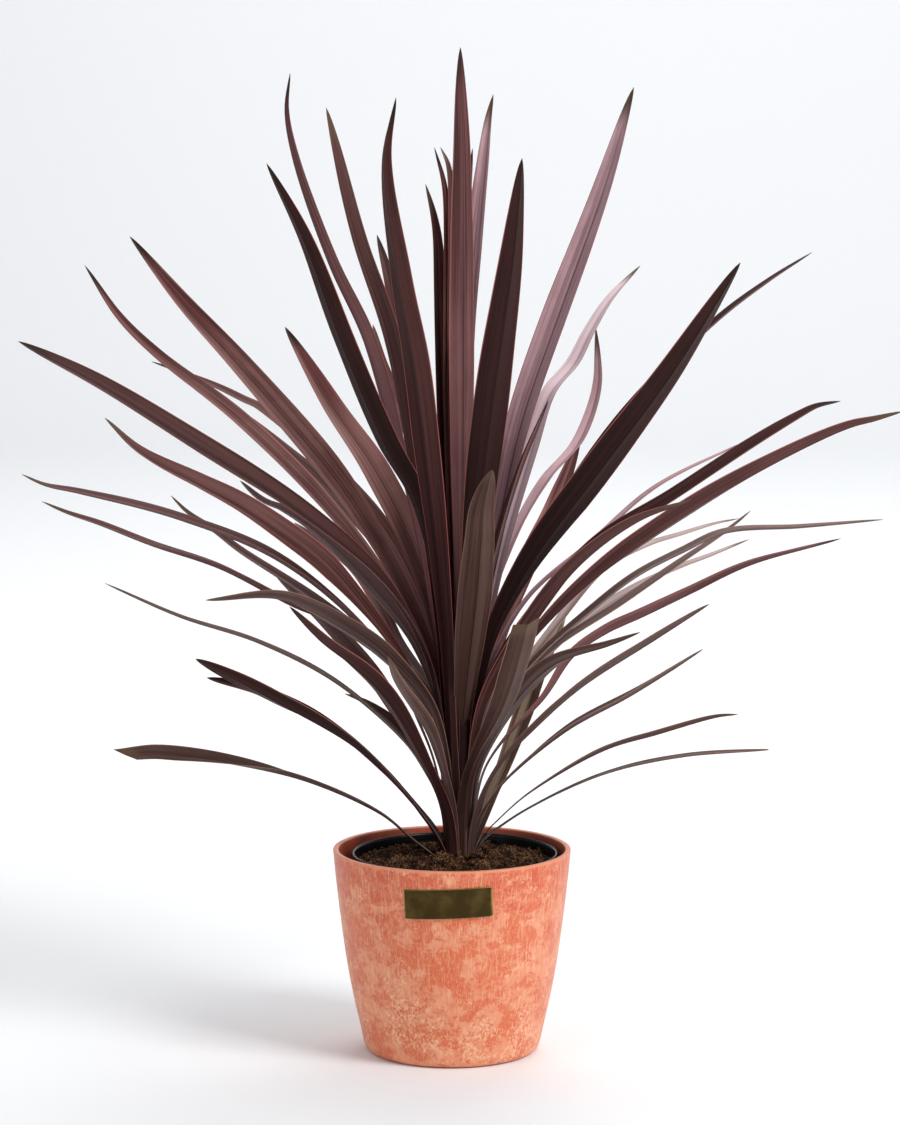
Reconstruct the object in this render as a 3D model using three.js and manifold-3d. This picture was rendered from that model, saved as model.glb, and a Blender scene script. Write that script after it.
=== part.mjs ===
// A potted cordyline: a rosette of long, arching, sword-shaped leaves on a short stem, in a
// grower's pot that stands inside a tapered terracotta-coloured planter with a bare brass plate.
// Millimetres, +Z up. The origin is the middle of the planter's flat foot, and -Y is the front.
import * as THREE from "three";
import { mergeVertices } from "three/addons/utils/BufferGeometryUtils.js";
import Module from "manifold-3d";

const wasm = await Module();
wasm.setup();

// Planter
const PLANTER_HEIGHT = 158;
const PLANTER_RIM_RADIUS = 92;
const PLANTER_FOOT_RADIUS = 61;
const PLANTER_WALL = 4.3;
const PLANTER_FLOOR = 6;
const PLANTER_INNER_FOOT_RADIUS = 66.2;
const PLANTER_LIP_ROUND = 1;
const PLANTER_SIDES = 48;
// Outside of the wall from the rounded foot to the rim, as [radius, height].
const PLANTER_SIDE = [
  [65.5, 1.6],
  [68.2, 6],
  [71.6, 21],
  [76.9, 45],
  [81.8, 72],
  [86.4, 106],
  [89.8, 135],
  [91.7, 155],
];

// Grower's pot
const SEAT = 0.3;
const GROWER_X = 2.3;
const GROWER_RIM_TOP = 155;
const GROWER_RIM_RADIUS = 79.8;
const GROWER_LIP_HEIGHT = 9;
const GROWER_TOP_RADIUS = 77.8;
const GROWER_FOOT_RADIUS = 58;
const GROWER_WALL = 1.5;
const GROWER_FLOOR = 2;
const GROWER_SIDES = 48;
const GROWER_FOOT_ROUND = 2;
// Rounded bead along the rim, from outside to inside, as [inset, drop] from its top outer corner.
const GROWER_BEAD = [
  [0, 2.4],
  [0.4, 0.5],
  [1.2, 0],
  [2.2, 0.6],
  [2.6, 2.4],
];
const DRAIN_HOLES = 8;
const DRAIN_RADIUS = 4.5;
const DRAIN_RING_RADIUS = 44;
const DRAIN_SIDES = 8;

// Soil
const SOIL_EDGE = 147;
const SOIL_MOUND = 9;
const SOIL_RELIEF = 1.6;
// Crossed waves that lift and lower the soil, in radians per millimetre.
const SOIL_WAVE = 0.31;
const SOIL_CROSS_WAVE = 0.27;
const SOIL_SLANT_WAVE = [0.17, -0.23];
const SOIL_RINGS = 9;
const SOIL_SIDES = 36;

// Plate
const PLATE_WIDTH = 68;
const PLATE_HEIGHT = 23;
const PLATE_MIDDLE = [-2.7, 133];
const PLATE_CORNER = 1.8;
const PLATE_THICKNESS = 1.3;
const PLATE_SIDES = 64;

// Stem: radius at the soil and at the growing tip
const STEM_X = 6;
const STEM_FOOT = 96;
const STEM_TIP = 256;
const STEM_SOIL_RADIUS = 12;
const STEM_TIP_RADIUS = 4.4;
const STEM_CHAMFER = 2;
const STEM_SIDES = 14;

// Blades. Every foot leaves the stem in one nest of curves, flatter the lower it stands.
const COLLAR = 20;
const COLLAR_FROM = 172;
const SPREAD_TOP = 4;
const SPREAD_RISE = 0.24;
const BLADE_THICKNESS = 0.8;
const BLADE_STEPS = 16;
const BASE_SHARE = 0.34;
const WIDEST_AT = 0.62;
const TIP_SHARE = 0.05;
const FOLD_BASE = 12;
const FOLD_MIDDLE = 24;

const DEG = Math.PI / 180;

// Every leaf that has its own place on the stem. azimuth is the plan direction in degrees from
// +X, base the height of its foot on the stem, and rib the midrib's way out as [reach from the
// stem's axis, height], which ends at the tip. width is the widest part of the blade. roll is
// how far the upper face is turned about the rib, halfway and at the tip, and drift is how far
// the tip strays sideways.
const LEAVES = [
  // Left, lowest first
  {
    name: "leaf_left_01", azimuth: 184, base: 159, width: 19, roll: [-10, 70],
    rib: [[36, 165], [61, 186], [120, 214], [183, 229], [230, 235], [257, 234]],
  },
  {
    name: "leaf_left_02", azimuth: 196, base: 167, width: 22, roll: [-15, -65],
    rib: [[29, 183], [44, 203], [85, 244], [146, 281], [207, 314]],
  },
  {
    name: "leaf_left_03", azimuth: 162, base: 162, width: 19, roll: [5, 40],
    rib: [[32, 185], [60, 213], [106, 247], [164, 272], [209, 281]],
  },
  {
    name: "leaf_left_04", azimuth: 170, base: 173, width: 14, roll: [-10, -15],
    rib: [[26, 215], [43, 240], [96, 285], [157, 315], [221, 334], [281, 358]],
  },
  {
    name: "leaf_left_05", azimuth: 149, base: 175, width: 13, roll: [35, 5],
    rib: [[28, 217], [53, 245], [85, 264], [105, 270]],
  },
  {
    name: "leaf_left_06", azimuth: 219, base: 188, width: 26, roll: [-20, -20],
    rib: [[73, 315], [114, 342], [171, 368], [238, 371]],
  },
  {
    name: "leaf_left_07", azimuth: 178, base: 180, width: 18, roll: [-20, 20],
    rib: [[31, 256], [62, 320], [125, 346], [183, 376], [237, 394], [276, 409], [303, 418], [321, 426]],
  },
  {
    name: "leaf_left_08", azimuth: 230, base: 184, width: 25, roll: [-5, 5],
    rib: [[30, 214], [80, 281], [118, 313], [159, 339], [193, 366]],
  },
  {
    name: "leaf_left_09", azimuth: 122, base: 178, width: 21, roll: [5, -5],
    rib: [[50, 217], [127, 273], [193, 304], [289, 340]],
  },
  {
    name: "leaf_left_10", azimuth: 194, base: 202, width: 22, roll: [10, 10],
    rib: [[23, 259], [75, 332], [140, 387], [217, 421], [292, 442], [318, 448], [335, 456]],
  },
  {
    name: "leaf_left_11", azimuth: 162, base: 186, width: 20, roll: [0, 0],
    rib: [[28, 280], [114, 344], [182, 384], [202, 398], [225, 412], [238, 424]],
  },
  {
    name: "leaf_left_12", azimuth: 250, base: 192, width: 14, roll: [0, 0],
    rib: [[30, 216], [63, 258], [136, 310], [154, 329]],
  },
  {
    name: "leaf_left_13", azimuth: 209, base: 198, width: 28, roll: [60, 30],
    rib: [[75, 341], [116, 385], [153, 413], [187, 435], [219, 452], [266, 477], [294, 503]],
  },
  {
    name: "leaf_left_14", azimuth: 124, base: 183, width: 22, roll: [0, 0],
    rib: [[151, 362], [211, 386], [259, 398], [294, 403], [328, 416]],
  },
  {
    name: "leaf_left_15", azimuth: 198, base: 210, width: 30, roll: [35, 45],
    rib: [[61, 368], [127, 425], [206, 477], [280, 524], [340, 556]],
  },
  {
    name: "leaf_left_16", azimuth: 132, base: 192, width: 18, roll: [0, 0],
    rib: [[235, 482], [268, 491], [299, 499], [333, 506], [385, 515]],
  },
  {
    name: "leaf_left_17", azimuth: 125, base: 208, width: 22, roll: [0, 0],
    rib: [[163, 412], [261, 452], [340, 482]],
  },
  {
    name: "leaf_left_18", azimuth: 112, base: 196, width: 16, roll: [0, 0],
    rib: [[62, 272], [138, 303], [175, 326], [225, 347], [309, 361], [378, 372]],
  },
  {
    name: "leaf_left_19", azimuth: 170, base: 219, width: 24, roll: [25, 15],
    rib: [[61, 368], [109, 427], [172, 487], [237, 536], [268, 566], [294, 605]],
  },
  {
    name: "leaf_left_20", azimuth: 150, base: 226, width: 27, roll: [35, 20],
    rib: [[57, 367], [108, 436], [201, 526], [257, 576], [304, 624]],
  },
  {
    name: "leaf_left_21", azimuth: 128, base: 212, width: 26, roll: [30, 10],
    rib: [[57, 386], [105, 441], [162, 488], [229, 550]],
  },
  {
    name: "leaf_left_22", azimuth: 113, base: 241, width: 20, roll: [0, 0],
    rib: [[39, 409], [100, 474], [157, 521], [178, 553]],
  },
  {
    name: "leaf_left_23", azimuth: 207, base: 242, width: 26, roll: [-25, -25],
    rib: [[36, 430], [62, 474], [99, 554], [129, 628], [160, 685]],
  },
  {
    name: "leaf_left_24", azimuth: 105, base: 220, width: 20, roll: [0, 0],
    rib: [[59, 422], [185, 540], [213, 579], [262, 622]],
  },
  {
    name: "leaf_left_25", azimuth: 138, base: 233, width: 26, roll: [-10, 5],
    rib: [[46, 441], [72, 548], [106, 623], [140, 726]],
  },
  {
    name: "leaf_left_26", azimuth: 165, base: 251, width: 27, roll: [-45, -25],
    rib: [[51, 473], [74, 550], [102, 609], [130, 686], [137, 724], [134, 752]],
  },
  {
    name: "leaf_left_27", azimuth: 246, base: 232, width: 25, roll: [-15, 35],
    rib: [[55, 449], [82, 540], [108, 601], [133, 689], [115, 733]],
  },
  // Right, lowest first
  {
    name: "leaf_right_01", azimuth: 4, base: 159, width: 16, roll: [15, -5],
    rib: [[31, 174], [53, 188], [112, 215], [172, 228], [240, 232]],
  },
  {
    name: "leaf_right_02", azimuth: -9, base: 166, width: 17, roll: [5, 20],
    rib: [[28, 179], [53, 202], [112, 239], [151, 252], [197, 266], [214, 268]],
  },
  {
    name: "leaf_right_03", azimuth: -20, base: 175, width: 18, roll: [-10, 0],
    rib: [[25, 197], [38, 214], [86, 256], [137, 286], [194, 323]],
  },
  {
    name: "leaf_right_04", azimuth: 58, base: 172, width: 12, roll: [0, 0],
    rib: [[60, 265], [152, 318], [217, 350], [294, 364], [359, 368], [420, 371], [461, 371]],
  },
  {
    name: "leaf_right_05", azimuth: 46, base: 167, width: 13, roll: [0, 0],
    rib: [[85, 289], [144, 321], [204, 342], [260, 354], [298, 360], [348, 369]],
  },
  {
    name: "leaf_right_06", azimuth: 17, base: 171, width: 16, roll: [0, 0],
    rib: [[65, 306], [102, 336], [143, 365], [184, 384], [217, 397], [280, 399], [351, 402]],
  },
  {
    name: "leaf_right_07", azimuth: -40, base: 182, width: 21, roll: [30, 5],
    rib: [[30, 244], [57, 282], [93, 312], [145, 331], [173, 342]],
  },
  {
    name: "leaf_right_08", azimuth: -38, base: 170, width: 18, roll: [-10, 15],
    rib: [[70, 259], [113, 295], [182, 338], [230, 367]],
  },
  {
    name: "leaf_right_09", azimuth: -4, base: 195, width: 20, roll: [35, 0],
    rib: [[36, 246], [64, 276], [87, 310], [112, 328], [139, 341], [175, 359], [222, 382], [290, 401]],
  },
  {
    name: "leaf_right_10", azimuth: 34, base: 181, width: 14, roll: [0, 0],
    rib: [[80, 302], [156, 338], [219, 369], [255, 386], [273, 396], [284, 403]],
  },
  {
    name: "leaf_right_11", azimuth: 66, base: 160, width: 20, roll: [0, 0],
    rib: [[81, 203], [133, 249], [155, 271], [216, 315]],
  },
  {
    name: "leaf_right_12", azimuth: -6, base: 203, width: 28, roll: [35, 30],
    rib: [[65, 334], [111, 378], [187, 431], [258, 471], [296, 488], [315, 493], [335, 499]],
  },
  {
    name: "leaf_right_13", azimuth: -41, base: 190, width: 28, roll: [0, 0],
    rib: [[31, 285], [70, 339], [116, 389], [172, 426], [222, 444]],
  },
  {
    name: "leaf_right_14", azimuth: 33, base: 192, width: 9, roll: [0, 0],
    rib: [[63, 348], [124, 388], [185, 428], [277, 461]],
  },
  {
    name: "leaf_right_15", azimuth: 10, base: 210, width: 27, roll: [-10, -20],
    rib: [[65, 350], [109, 393], [168, 428], [231, 468], [267, 489], [281, 496], [300, 500]],
  },
  {
    name: "leaf_right_16", azimuth: -76, base: 203, width: 24, roll: [0, 0],
    rib: [[49, 237], [131, 292], [175, 335], [197, 360]],
  },
  {
    name: "leaf_right_17", azimuth: 26, base: 220, width: 16, roll: [0, 0],
    rib: [[59, 379], [107, 448], [155, 501], [226, 561], [273, 591], [312, 612]],
  },
  {
    name: "leaf_right_18", azimuth: 69, base: 204, width: 22, roll: [0, 0],
    rib: [[164, 368], [211, 397], [233, 413], [255, 430], [274, 447], [284, 458]],
  },
  {
    name: "leaf_right_19", azimuth: -24, base: 227, width: 32, roll: [50, 30],
    rib: [[56, 380], [110, 451], [172, 532], [225, 613]],
  },
  {
    name: "leaf_right_20", azimuth: -78, base: 215, width: 31, roll: [0, 0],
    rib: [[26, 296], [58, 366], [72, 406], [78, 427], [89, 441], [112, 462]],
  },
  {
    name: "leaf_right_21", azimuth: 66, base: 216, width: 18, roll: [30, 0],
    rib: [[100, 384], [173, 428], [243, 454], [277, 485], [285, 503], [284, 520], [279, 545]],
  },
  {
    name: "leaf_right_22", azimuth: 53, base: 228, width: 18, roll: [0, 0],
    rib: [[94, 462], [117, 502], [151, 525], [173, 549], [200, 573], [244, 599]],
  },
  {
    name: "leaf_right_23", azimuth: 17, base: 248, width: 20, roll: [5, 15],
    rib: [[30, 393], [48, 450], [71, 503]],
  },
  {
    name: "leaf_right_24", azimuth: 45, base: 238, width: 31, roll: [-5, -5],
    rib: [[44, 415], [68, 488], [110, 570], [159, 661], [195, 742]],
  },
  {
    name: "leaf_right_25", azimuth: -64, base: 241, width: 32, roll: [20, -10],
    rib: [[31, 416], [55, 509], [78, 584], [89, 622], [103, 689]],
  },
  // Back, where the other leaves hide them
  {
    name: "leaf_back_01", azimuth: 90, base: 163, width: 24, roll: [0, 0],
    rib: [[50, 208], [140, 266], [250, 300], [350, 305]],
  },
  {
    name: "leaf_back_02", azimuth: 91, base: 187, width: 26, roll: [0, 0],
    rib: [[40, 262], [120, 360], [220, 445], [330, 505]],
  },
];

// The youngest leaves, still clasped together round the growing tip
const HEART = [
  {
    azimuth: 290, width: 24, roll: [0, 0],
    rib: [[4, 340], [6, 521], [6, 627], [6, 687], [3, 735], [1, 771]],
  },
  {
    azimuth: 65, width: 20, roll: [0, 0],
    rib: [[5, 430], [9, 542], [27, 626], [43, 686], [52, 717], [61, 736]],
  },
  {
    azimuth: 135, width: 20, roll: [0, 0],
    rib: [[14, 430], [21, 550], [25, 626], [29, 645], [37, 668]],
  },
  {
    azimuth: 120, width: 12, roll: [0, 0],
    rib: [[14, 430], [18, 550], [19, 630], [24, 667], [39, 696]],
  },
  {
    azimuth: 108, width: 12, roll: [0, 0],
    rib: [[10, 430], [17, 550], [19, 645], [27, 680], [48, 696]],
  },
  {
    azimuth: 80, width: 12, roll: [0, 0],
    rib: [[10, 430], [14, 550], [36, 656], [57, 695]],
  },
];

function paint(color, roughness, metalness = 0) {
  return new THREE.MeshStandardMaterial({ color, roughness, metalness });
}

const TERRACOTTA = paint("#d8805f", 0.62);
const BLACK_PLASTIC = paint("#17171a", 0.42);
const PEAT = paint("#2c1e17", 0.95);
const BRASS = paint("#6b5a24", 0.36, 0.9);
const STEM_BARK = paint("#3a2420", 0.8);
const LEAF_DARK = paint("#3a2024", 0.4);
const LEAF_ROSE = paint("#7b4a50", 0.42);

// A geometry as a manifold solid, and back.
function solid(geometry) {
  const bare = geometry.clone();
  bare.deleteAttribute("normal");
  bare.deleteAttribute("uv");
  const merged = mergeVertices(bare, 1e-3);
  return new wasm.Manifold(
    new wasm.Mesh({
      numProp: 3,
      vertProperties: new Float32Array(merged.attributes.position.array),
      triVerts: new Uint32Array(merged.index.array),
    }),
  );
}

function surface(manifold) {
  const mesh = manifold.getMesh();
  const geometry = new THREE.BufferGeometry();
  geometry.setAttribute("position", new THREE.BufferAttribute(mesh.vertProperties, 3));
  geometry.setIndex(new THREE.BufferAttribute(mesh.triVerts, 1));
  geometry.computeVertexNormals();
  return geometry;
}

// A closed solid of revolution about Z from a profile of [radius, height] pairs.
function turned(profile, sides) {
  const points = profile.map(([radius, height]) => new THREE.Vector2(radius, height));
  return new THREE.LatheGeometry(points, sides).rotateX(Math.PI / 2);
}

function planter() {
  const inside = PLANTER_SIDE.slice(2).map(([radius, height]) => [radius - PLANTER_WALL, height]);
  const shoulder = PLANTER_HEIGHT - PLANTER_LIP_ROUND;
  return turned(
    [
      [0, 0],
      [PLANTER_FOOT_RADIUS, 0],
      ...PLANTER_SIDE,
      [PLANTER_RIM_RADIUS, shoulder],
      [PLANTER_RIM_RADIUS - PLANTER_LIP_ROUND, PLANTER_HEIGHT],
      [PLANTER_RIM_RADIUS - PLANTER_WALL + PLANTER_LIP_ROUND, PLANTER_HEIGHT],
      [PLANTER_RIM_RADIUS - PLANTER_WALL, shoulder],
      ...inside.reverse(),
      [PLANTER_INNER_FOOT_RADIUS, PLANTER_FLOOR],
      [0, PLANTER_FLOOR],
    ],
    PLANTER_SIDES,
  );
}

// Outer radius of the grower's pot below its lip.
function growerRadius(height) {
  const foot = PLANTER_FLOOR + SEAT;
  const share = (height - foot) / (GROWER_RIM_TOP - GROWER_LIP_HEIGHT - foot);
  return GROWER_FOOT_RADIUS + (GROWER_TOP_RADIUS - GROWER_FOOT_RADIUS) * share;
}

function growerPot() {
  const foot = PLANTER_FLOOR + SEAT;
  const lip = GROWER_RIM_TOP - GROWER_LIP_HEIGHT;
  const floor = foot + GROWER_FLOOR;
  let pot = solid(
    turned(
      [
        [0, foot],
        [GROWER_FOOT_RADIUS - GROWER_FOOT_ROUND, foot],
        [growerRadius(foot + GROWER_FOOT_ROUND), foot + GROWER_FOOT_ROUND],
        [GROWER_TOP_RADIUS, lip],
        [GROWER_RIM_RADIUS, lip + SEAT],
        ...GROWER_BEAD.map(([inset, drop]) => [GROWER_RIM_RADIUS - inset, GROWER_RIM_TOP - drop]),
        [GROWER_TOP_RADIUS - GROWER_WALL, lip],
        [growerRadius(floor) - GROWER_WALL, floor],
        [0, floor],
      ],
      GROWER_SIDES,
    ),
  );
  const drain = new THREE.CylinderGeometry(
    DRAIN_RADIUS,
    DRAIN_RADIUS,
    3 * GROWER_FLOOR,
    DRAIN_SIDES,
  );
  drain.rotateX(Math.PI / 2);
  for (let i = 0; i < DRAIN_HOLES; i++) {
    const angle = (2 * Math.PI * (i + 0.5)) / DRAIN_HOLES;
    const hole = drain.clone();
    hole.translate(
      DRAIN_RING_RADIUS * Math.cos(angle),
      DRAIN_RING_RADIUS * Math.sin(angle),
      foot + GROWER_FLOOR / 2,
    );
    pot = pot.subtract(solid(hole));
  }
  return surface(pot).translate(GROWER_X, 0, 0);
}

// Height of the loose soil at a plan point measured from the pot's axis: a mound round the
// stem, with low lumps from a few crossed waves.
function soilHeight(x, y) {
  const share = Math.min(1, Math.hypot(x, y) / GROWER_TOP_RADIUS);
  const mound = SOIL_MOUND * (1 - share) ** 1.2;
  const crossed = Math.sin(SOIL_WAVE * x + 1.2) * Math.cos(SOIL_CROSS_WAVE * y);
  const slanted = Math.sin(SOIL_SLANT_WAVE[0] * x + SOIL_SLANT_WAVE[1] * y + 0.6);
  const lumps = crossed + slanted;
  return SOIL_EDGE + mound + 0.5 * SOIL_RELIEF * lumps * (1 - share ** 6);
}

function soil() {
  const floor = PLANTER_FLOOR + SEAT + GROWER_FLOOR + SEAT;
  const rings = [[0, floor], [growerRadius(floor) - GROWER_WALL - SEAT, floor]];
  const edge = growerRadius(SOIL_EDGE) - GROWER_WALL - 2 * SEAT;
  for (let i = SOIL_RINGS; i >= 0; i--) {
    rings.push([(edge * i) / SOIL_RINGS, SOIL_EDGE]);
  }
  const body = turned(rings, SOIL_SIDES);
  const position = body.attributes.position;
  for (let i = 0; i < position.count; i++) {
    if (position.getZ(i) > SOIL_EDGE - 1) {
      position.setZ(i, soilHeight(position.getX(i), position.getY(i)));
    }
  }
  const wellRadius = STEM_SOIL_RADIUS + SEAT;
  const wellDepth = 2 * (SOIL_EDGE - STEM_FOOT);
  const well = new THREE.CylinderGeometry(wellRadius, wellRadius, wellDepth, STEM_SIDES);
  well.rotateX(Math.PI / 2);
  well.translate(STEM_X - GROWER_X, 0, STEM_FOOT - SEAT + wellDepth / 2);
  return surface(solid(body).subtract(solid(well))).translate(GROWER_X, 0, 0);
}

// The bare plate follows the planter's curve, a seat's gap off the wall.
function plate() {
  const outer = PLANTER_SIDE.map(([radius, height]) => [
    radius + SEAT + PLATE_THICKNESS,
    height,
  ]);
  const inner = PLANTER_SIDE.map(([radius, height]) => [radius + SEAT, height]);
  const sleeve = turned([...outer, ...inner.reverse(), outer[0]], PLATE_SIDES);
  const [middle, level] = PLATE_MIDDLE;
  const outline = new THREE.Shape();
  const right = PLATE_WIDTH / 2;
  const high = PLATE_HEIGHT / 2;
  const inset = PLATE_CORNER;
  outline.moveTo(-right + inset, -high);
  outline.lineTo(right - inset, -high);
  outline.absarc(right - inset, -high + inset, inset, -Math.PI / 2, 0);
  outline.lineTo(right, high - inset);
  outline.absarc(right - inset, high - inset, inset, 0, Math.PI / 2);
  outline.lineTo(-right + inset, high);
  outline.absarc(-right + inset, high - inset, inset, Math.PI / 2, Math.PI);
  outline.lineTo(-right, -high + inset);
  outline.absarc(-right + inset, -high + inset, inset, Math.PI, 1.5 * Math.PI);
  const block = new THREE.ExtrudeGeometry(outline, {
    depth: 2 * PLANTER_RIM_RADIUS,
    bevelEnabled: false,
    curveSegments: 3,
  });
  block.rotateX(Math.PI / 2);
  block.translate(middle, 0, level);
  return surface(solid(sleeve).intersect(solid(block)));
}

function stemRadius(height) {
  const share = Math.max(0, (height - SOIL_EDGE) / (STEM_TIP - SOIL_EDGE));
  return STEM_SOIL_RADIUS + (STEM_TIP_RADIUS - STEM_SOIL_RADIUS) * share;
}

function stem() {
  return turned(
    [
      [0, STEM_FOOT],
      [STEM_SOIL_RADIUS, STEM_FOOT],
      [STEM_SOIL_RADIUS, SOIL_EDGE],
      [STEM_TIP_RADIUS, STEM_TIP - STEM_CHAMFER],
      [STEM_TIP_RADIUS - STEM_CHAMFER, STEM_TIP],
      [0, STEM_TIP],
    ],
    STEM_SIDES,
  ).translate(STEM_X, 0, 0);
}

// Share of the full width at share s of the blade's length: clasping foot, widest beyond the
// middle, long sharp point.
function widthShare(s) {
  const rise = THREE.MathUtils.smoothstep(s, 0, WIDEST_AT);
  const swell = BASE_SHARE + (1 - BASE_SHARE) * rise;
  return Math.max(TIP_SHARE, swell * (1 - s ** 4.5) ** 0.68);
}

// One blade as a closed solid: rows of left edge, rib and right edge on the upper face and the
// same three on the lower, split into triangles alike on both faces.
function blade({ azimuth, base, rib, width, roll, drift = 0, foot }) {
  const out = new THREE.Vector3(Math.cos(azimuth * DEG), Math.sin(azimuth * DEG), 0);
  const across = new THREE.Vector3(-out.y, out.x, 0);
  const dip = 0.25 * width * BASE_SHARE * Math.sin(FOLD_BASE * DEG);
  const start = foot ?? [stemRadius(base) + SEAT + BLADE_THICKNESS / 2 - dip, base];
  const axis = new THREE.Vector3(STEM_X, 0, 0);
  const spread = DEG * (SPREAD_TOP + SPREAD_RISE * (STEM_TIP - start[1]));
  const collar = [start[0] + COLLAR * Math.sin(spread), start[1] + COLLAR * Math.cos(spread)];
  const nested = start[1] > COLLAR_FROM ? [start, collar] : [start];
  const path = new THREE.CatmullRomCurve3(
    [...nested, ...rib].map(([reach, height]) =>
      axis.clone().addScaledVector(out, reach).setZ(height),
    ),
  );
  path.arcLengthDivisions = 100;
  const positions = [];
  for (let i = 0; i <= BLADE_STEPS; i++) {
    const s = i / BLADE_STEPS;
    const along = path.getTangentAt(s);
    const centre = path.getPointAt(s).addScaledVector(across, drift * s ** 3);
    const turn = s < 0.5 ? roll[0] * 2 * s : roll[0] + (roll[1] - roll[0]) * (2 * s - 1);
    const up = along.clone().cross(across);
    const side = across.clone().applyAxisAngle(along, -turn * DEG);
    up.applyAxisAngle(along, -turn * DEG);
    const fold = (FOLD_BASE + (FOLD_MIDDLE - FOLD_BASE) * Math.min(1, 3 * s)) * DEG;
    const half = (width * widthShare(s)) / 2;
    for (const face of [0.5, -0.5]) {
      for (const edge of [-1, 0, 1]) {
        const point = centre
          .clone()
          .addScaledVector(side, edge * half * Math.cos(fold))
          .addScaledVector(up, (Math.abs(edge) - 0.5) * half * Math.sin(fold) + face * BLADE_THICKNESS);
        positions.push(...point.toArray());
      }
    }
  }
  const index = [];
  const quad = (a, b, c, d) => index.push(a, c, b, a, d, c);
  for (let i = 0; i < BLADE_STEPS; i++) {
    const row = 6 * i;
    const next = row + 6;
    for (const j of [0, 1]) {
      quad(row + j, row + j + 1, next + j + 1, next + j);
      quad(next + j + 4, row + j + 4, row + j + 3, next + j + 3);
    }
    quad(row + 2, row + 5, next + 5, next + 2);
    quad(row + 3, row, next, next + 3);
  }
  const last = 6 * BLADE_STEPS;
  quad(1, 0, 3, 4);
  quad(2, 1, 4, 5);
  quad(last, last + 1, last + 4, last + 3);
  quad(last + 1, last + 2, last + 5, last + 4);
  const geometry = new THREE.BufferGeometry();
  geometry.setAttribute("position", new THREE.Float32BufferAttribute(positions, 3));
  geometry.setIndex(index);
  geometry.computeVertexNormals();
  return geometry;
}

const plant = new THREE.Group();

function add(name, geometry, material) {
  const mesh = new THREE.Mesh(geometry, material);
  mesh.name = name;
  plant.add(mesh);
}

add("planter", planter(), TERRACOTTA);
add("grower_pot", growerPot(), BLACK_PLASTIC);
add("soil", soil(), PEAT);
add("plate", plate(), BRASS);
add("stem", stem(), STEM_BARK);
for (const leaf of LEAVES) {
  add(leaf.name, blade(leaf), LEAF_DARK);
}

let heart;
for (const leaf of HEART) {
  const young = solid(blade({ ...leaf, foot: [0.3, STEM_TIP + SEAT] }));
  heart = heart ? heart.add(young) : young;
}
add("heart_leaves", surface(heart), LEAF_ROSE);

export default plant;
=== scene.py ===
"""A potted cordyline with its looks: a rosette of long burgundy leaves on a short stem, in a black
grower's pot inside a tapered terracotta planter with a bare brass plate.

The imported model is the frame: metres, +Z up, the origin in the middle of the planter's foot and
-Y at the front. Every node is replaced by a finer piece in the same place, of the same form but
for the lower runs of a few leaves, which Blade.steepest bows too far.
"""

import logging
import math
import random
from collections.abc import Iterator
from dataclasses import dataclass, field
from enum import Enum

import bmesh
import bpy
from mathutils import Euler, Matrix, Vector, noise


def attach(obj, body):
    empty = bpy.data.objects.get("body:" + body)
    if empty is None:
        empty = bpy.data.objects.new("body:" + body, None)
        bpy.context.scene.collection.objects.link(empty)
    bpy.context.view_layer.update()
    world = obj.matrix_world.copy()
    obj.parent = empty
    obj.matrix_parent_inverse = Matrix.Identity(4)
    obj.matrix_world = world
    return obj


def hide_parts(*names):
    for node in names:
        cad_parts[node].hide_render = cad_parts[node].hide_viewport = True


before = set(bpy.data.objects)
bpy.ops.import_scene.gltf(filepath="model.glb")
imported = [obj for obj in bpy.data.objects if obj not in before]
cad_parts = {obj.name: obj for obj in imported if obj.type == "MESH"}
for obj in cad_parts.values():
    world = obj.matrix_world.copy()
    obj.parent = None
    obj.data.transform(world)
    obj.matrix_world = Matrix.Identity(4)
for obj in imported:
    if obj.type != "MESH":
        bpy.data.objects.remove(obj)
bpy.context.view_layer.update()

LOG = logging.getLogger("cordyline")
MM = 0.001
ROOT = "root"
SHARP_ANGLE = math.radians(48)
TOUCH = 1e-6
Colour = tuple[float, float, float, float]
Profile = list[tuple[float, float]]


def paint(code: str) -> Colour:
    """A scene-linear colour from its usual code.

    Args:
        code: Red, green and blue as six hexadecimal digits.

    Returns:
        The linear colour, opaque.
    """
    shares = [int(code[i : i + 2], 16) / 255 for i in (0, 2, 4)]
    linear = [s / 12.92 if s <= 0.04045 else ((s + 0.055) / 1.055) ** 2.4 for s in shares]
    return (linear[0], linear[1], linear[2], 1.0)


def smooth(share: float) -> float:
    """The smoothstep curve on 0 to 1."""
    share = min(1.0, max(0.0, share))
    return share * share * (3 - 2 * share)


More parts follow.
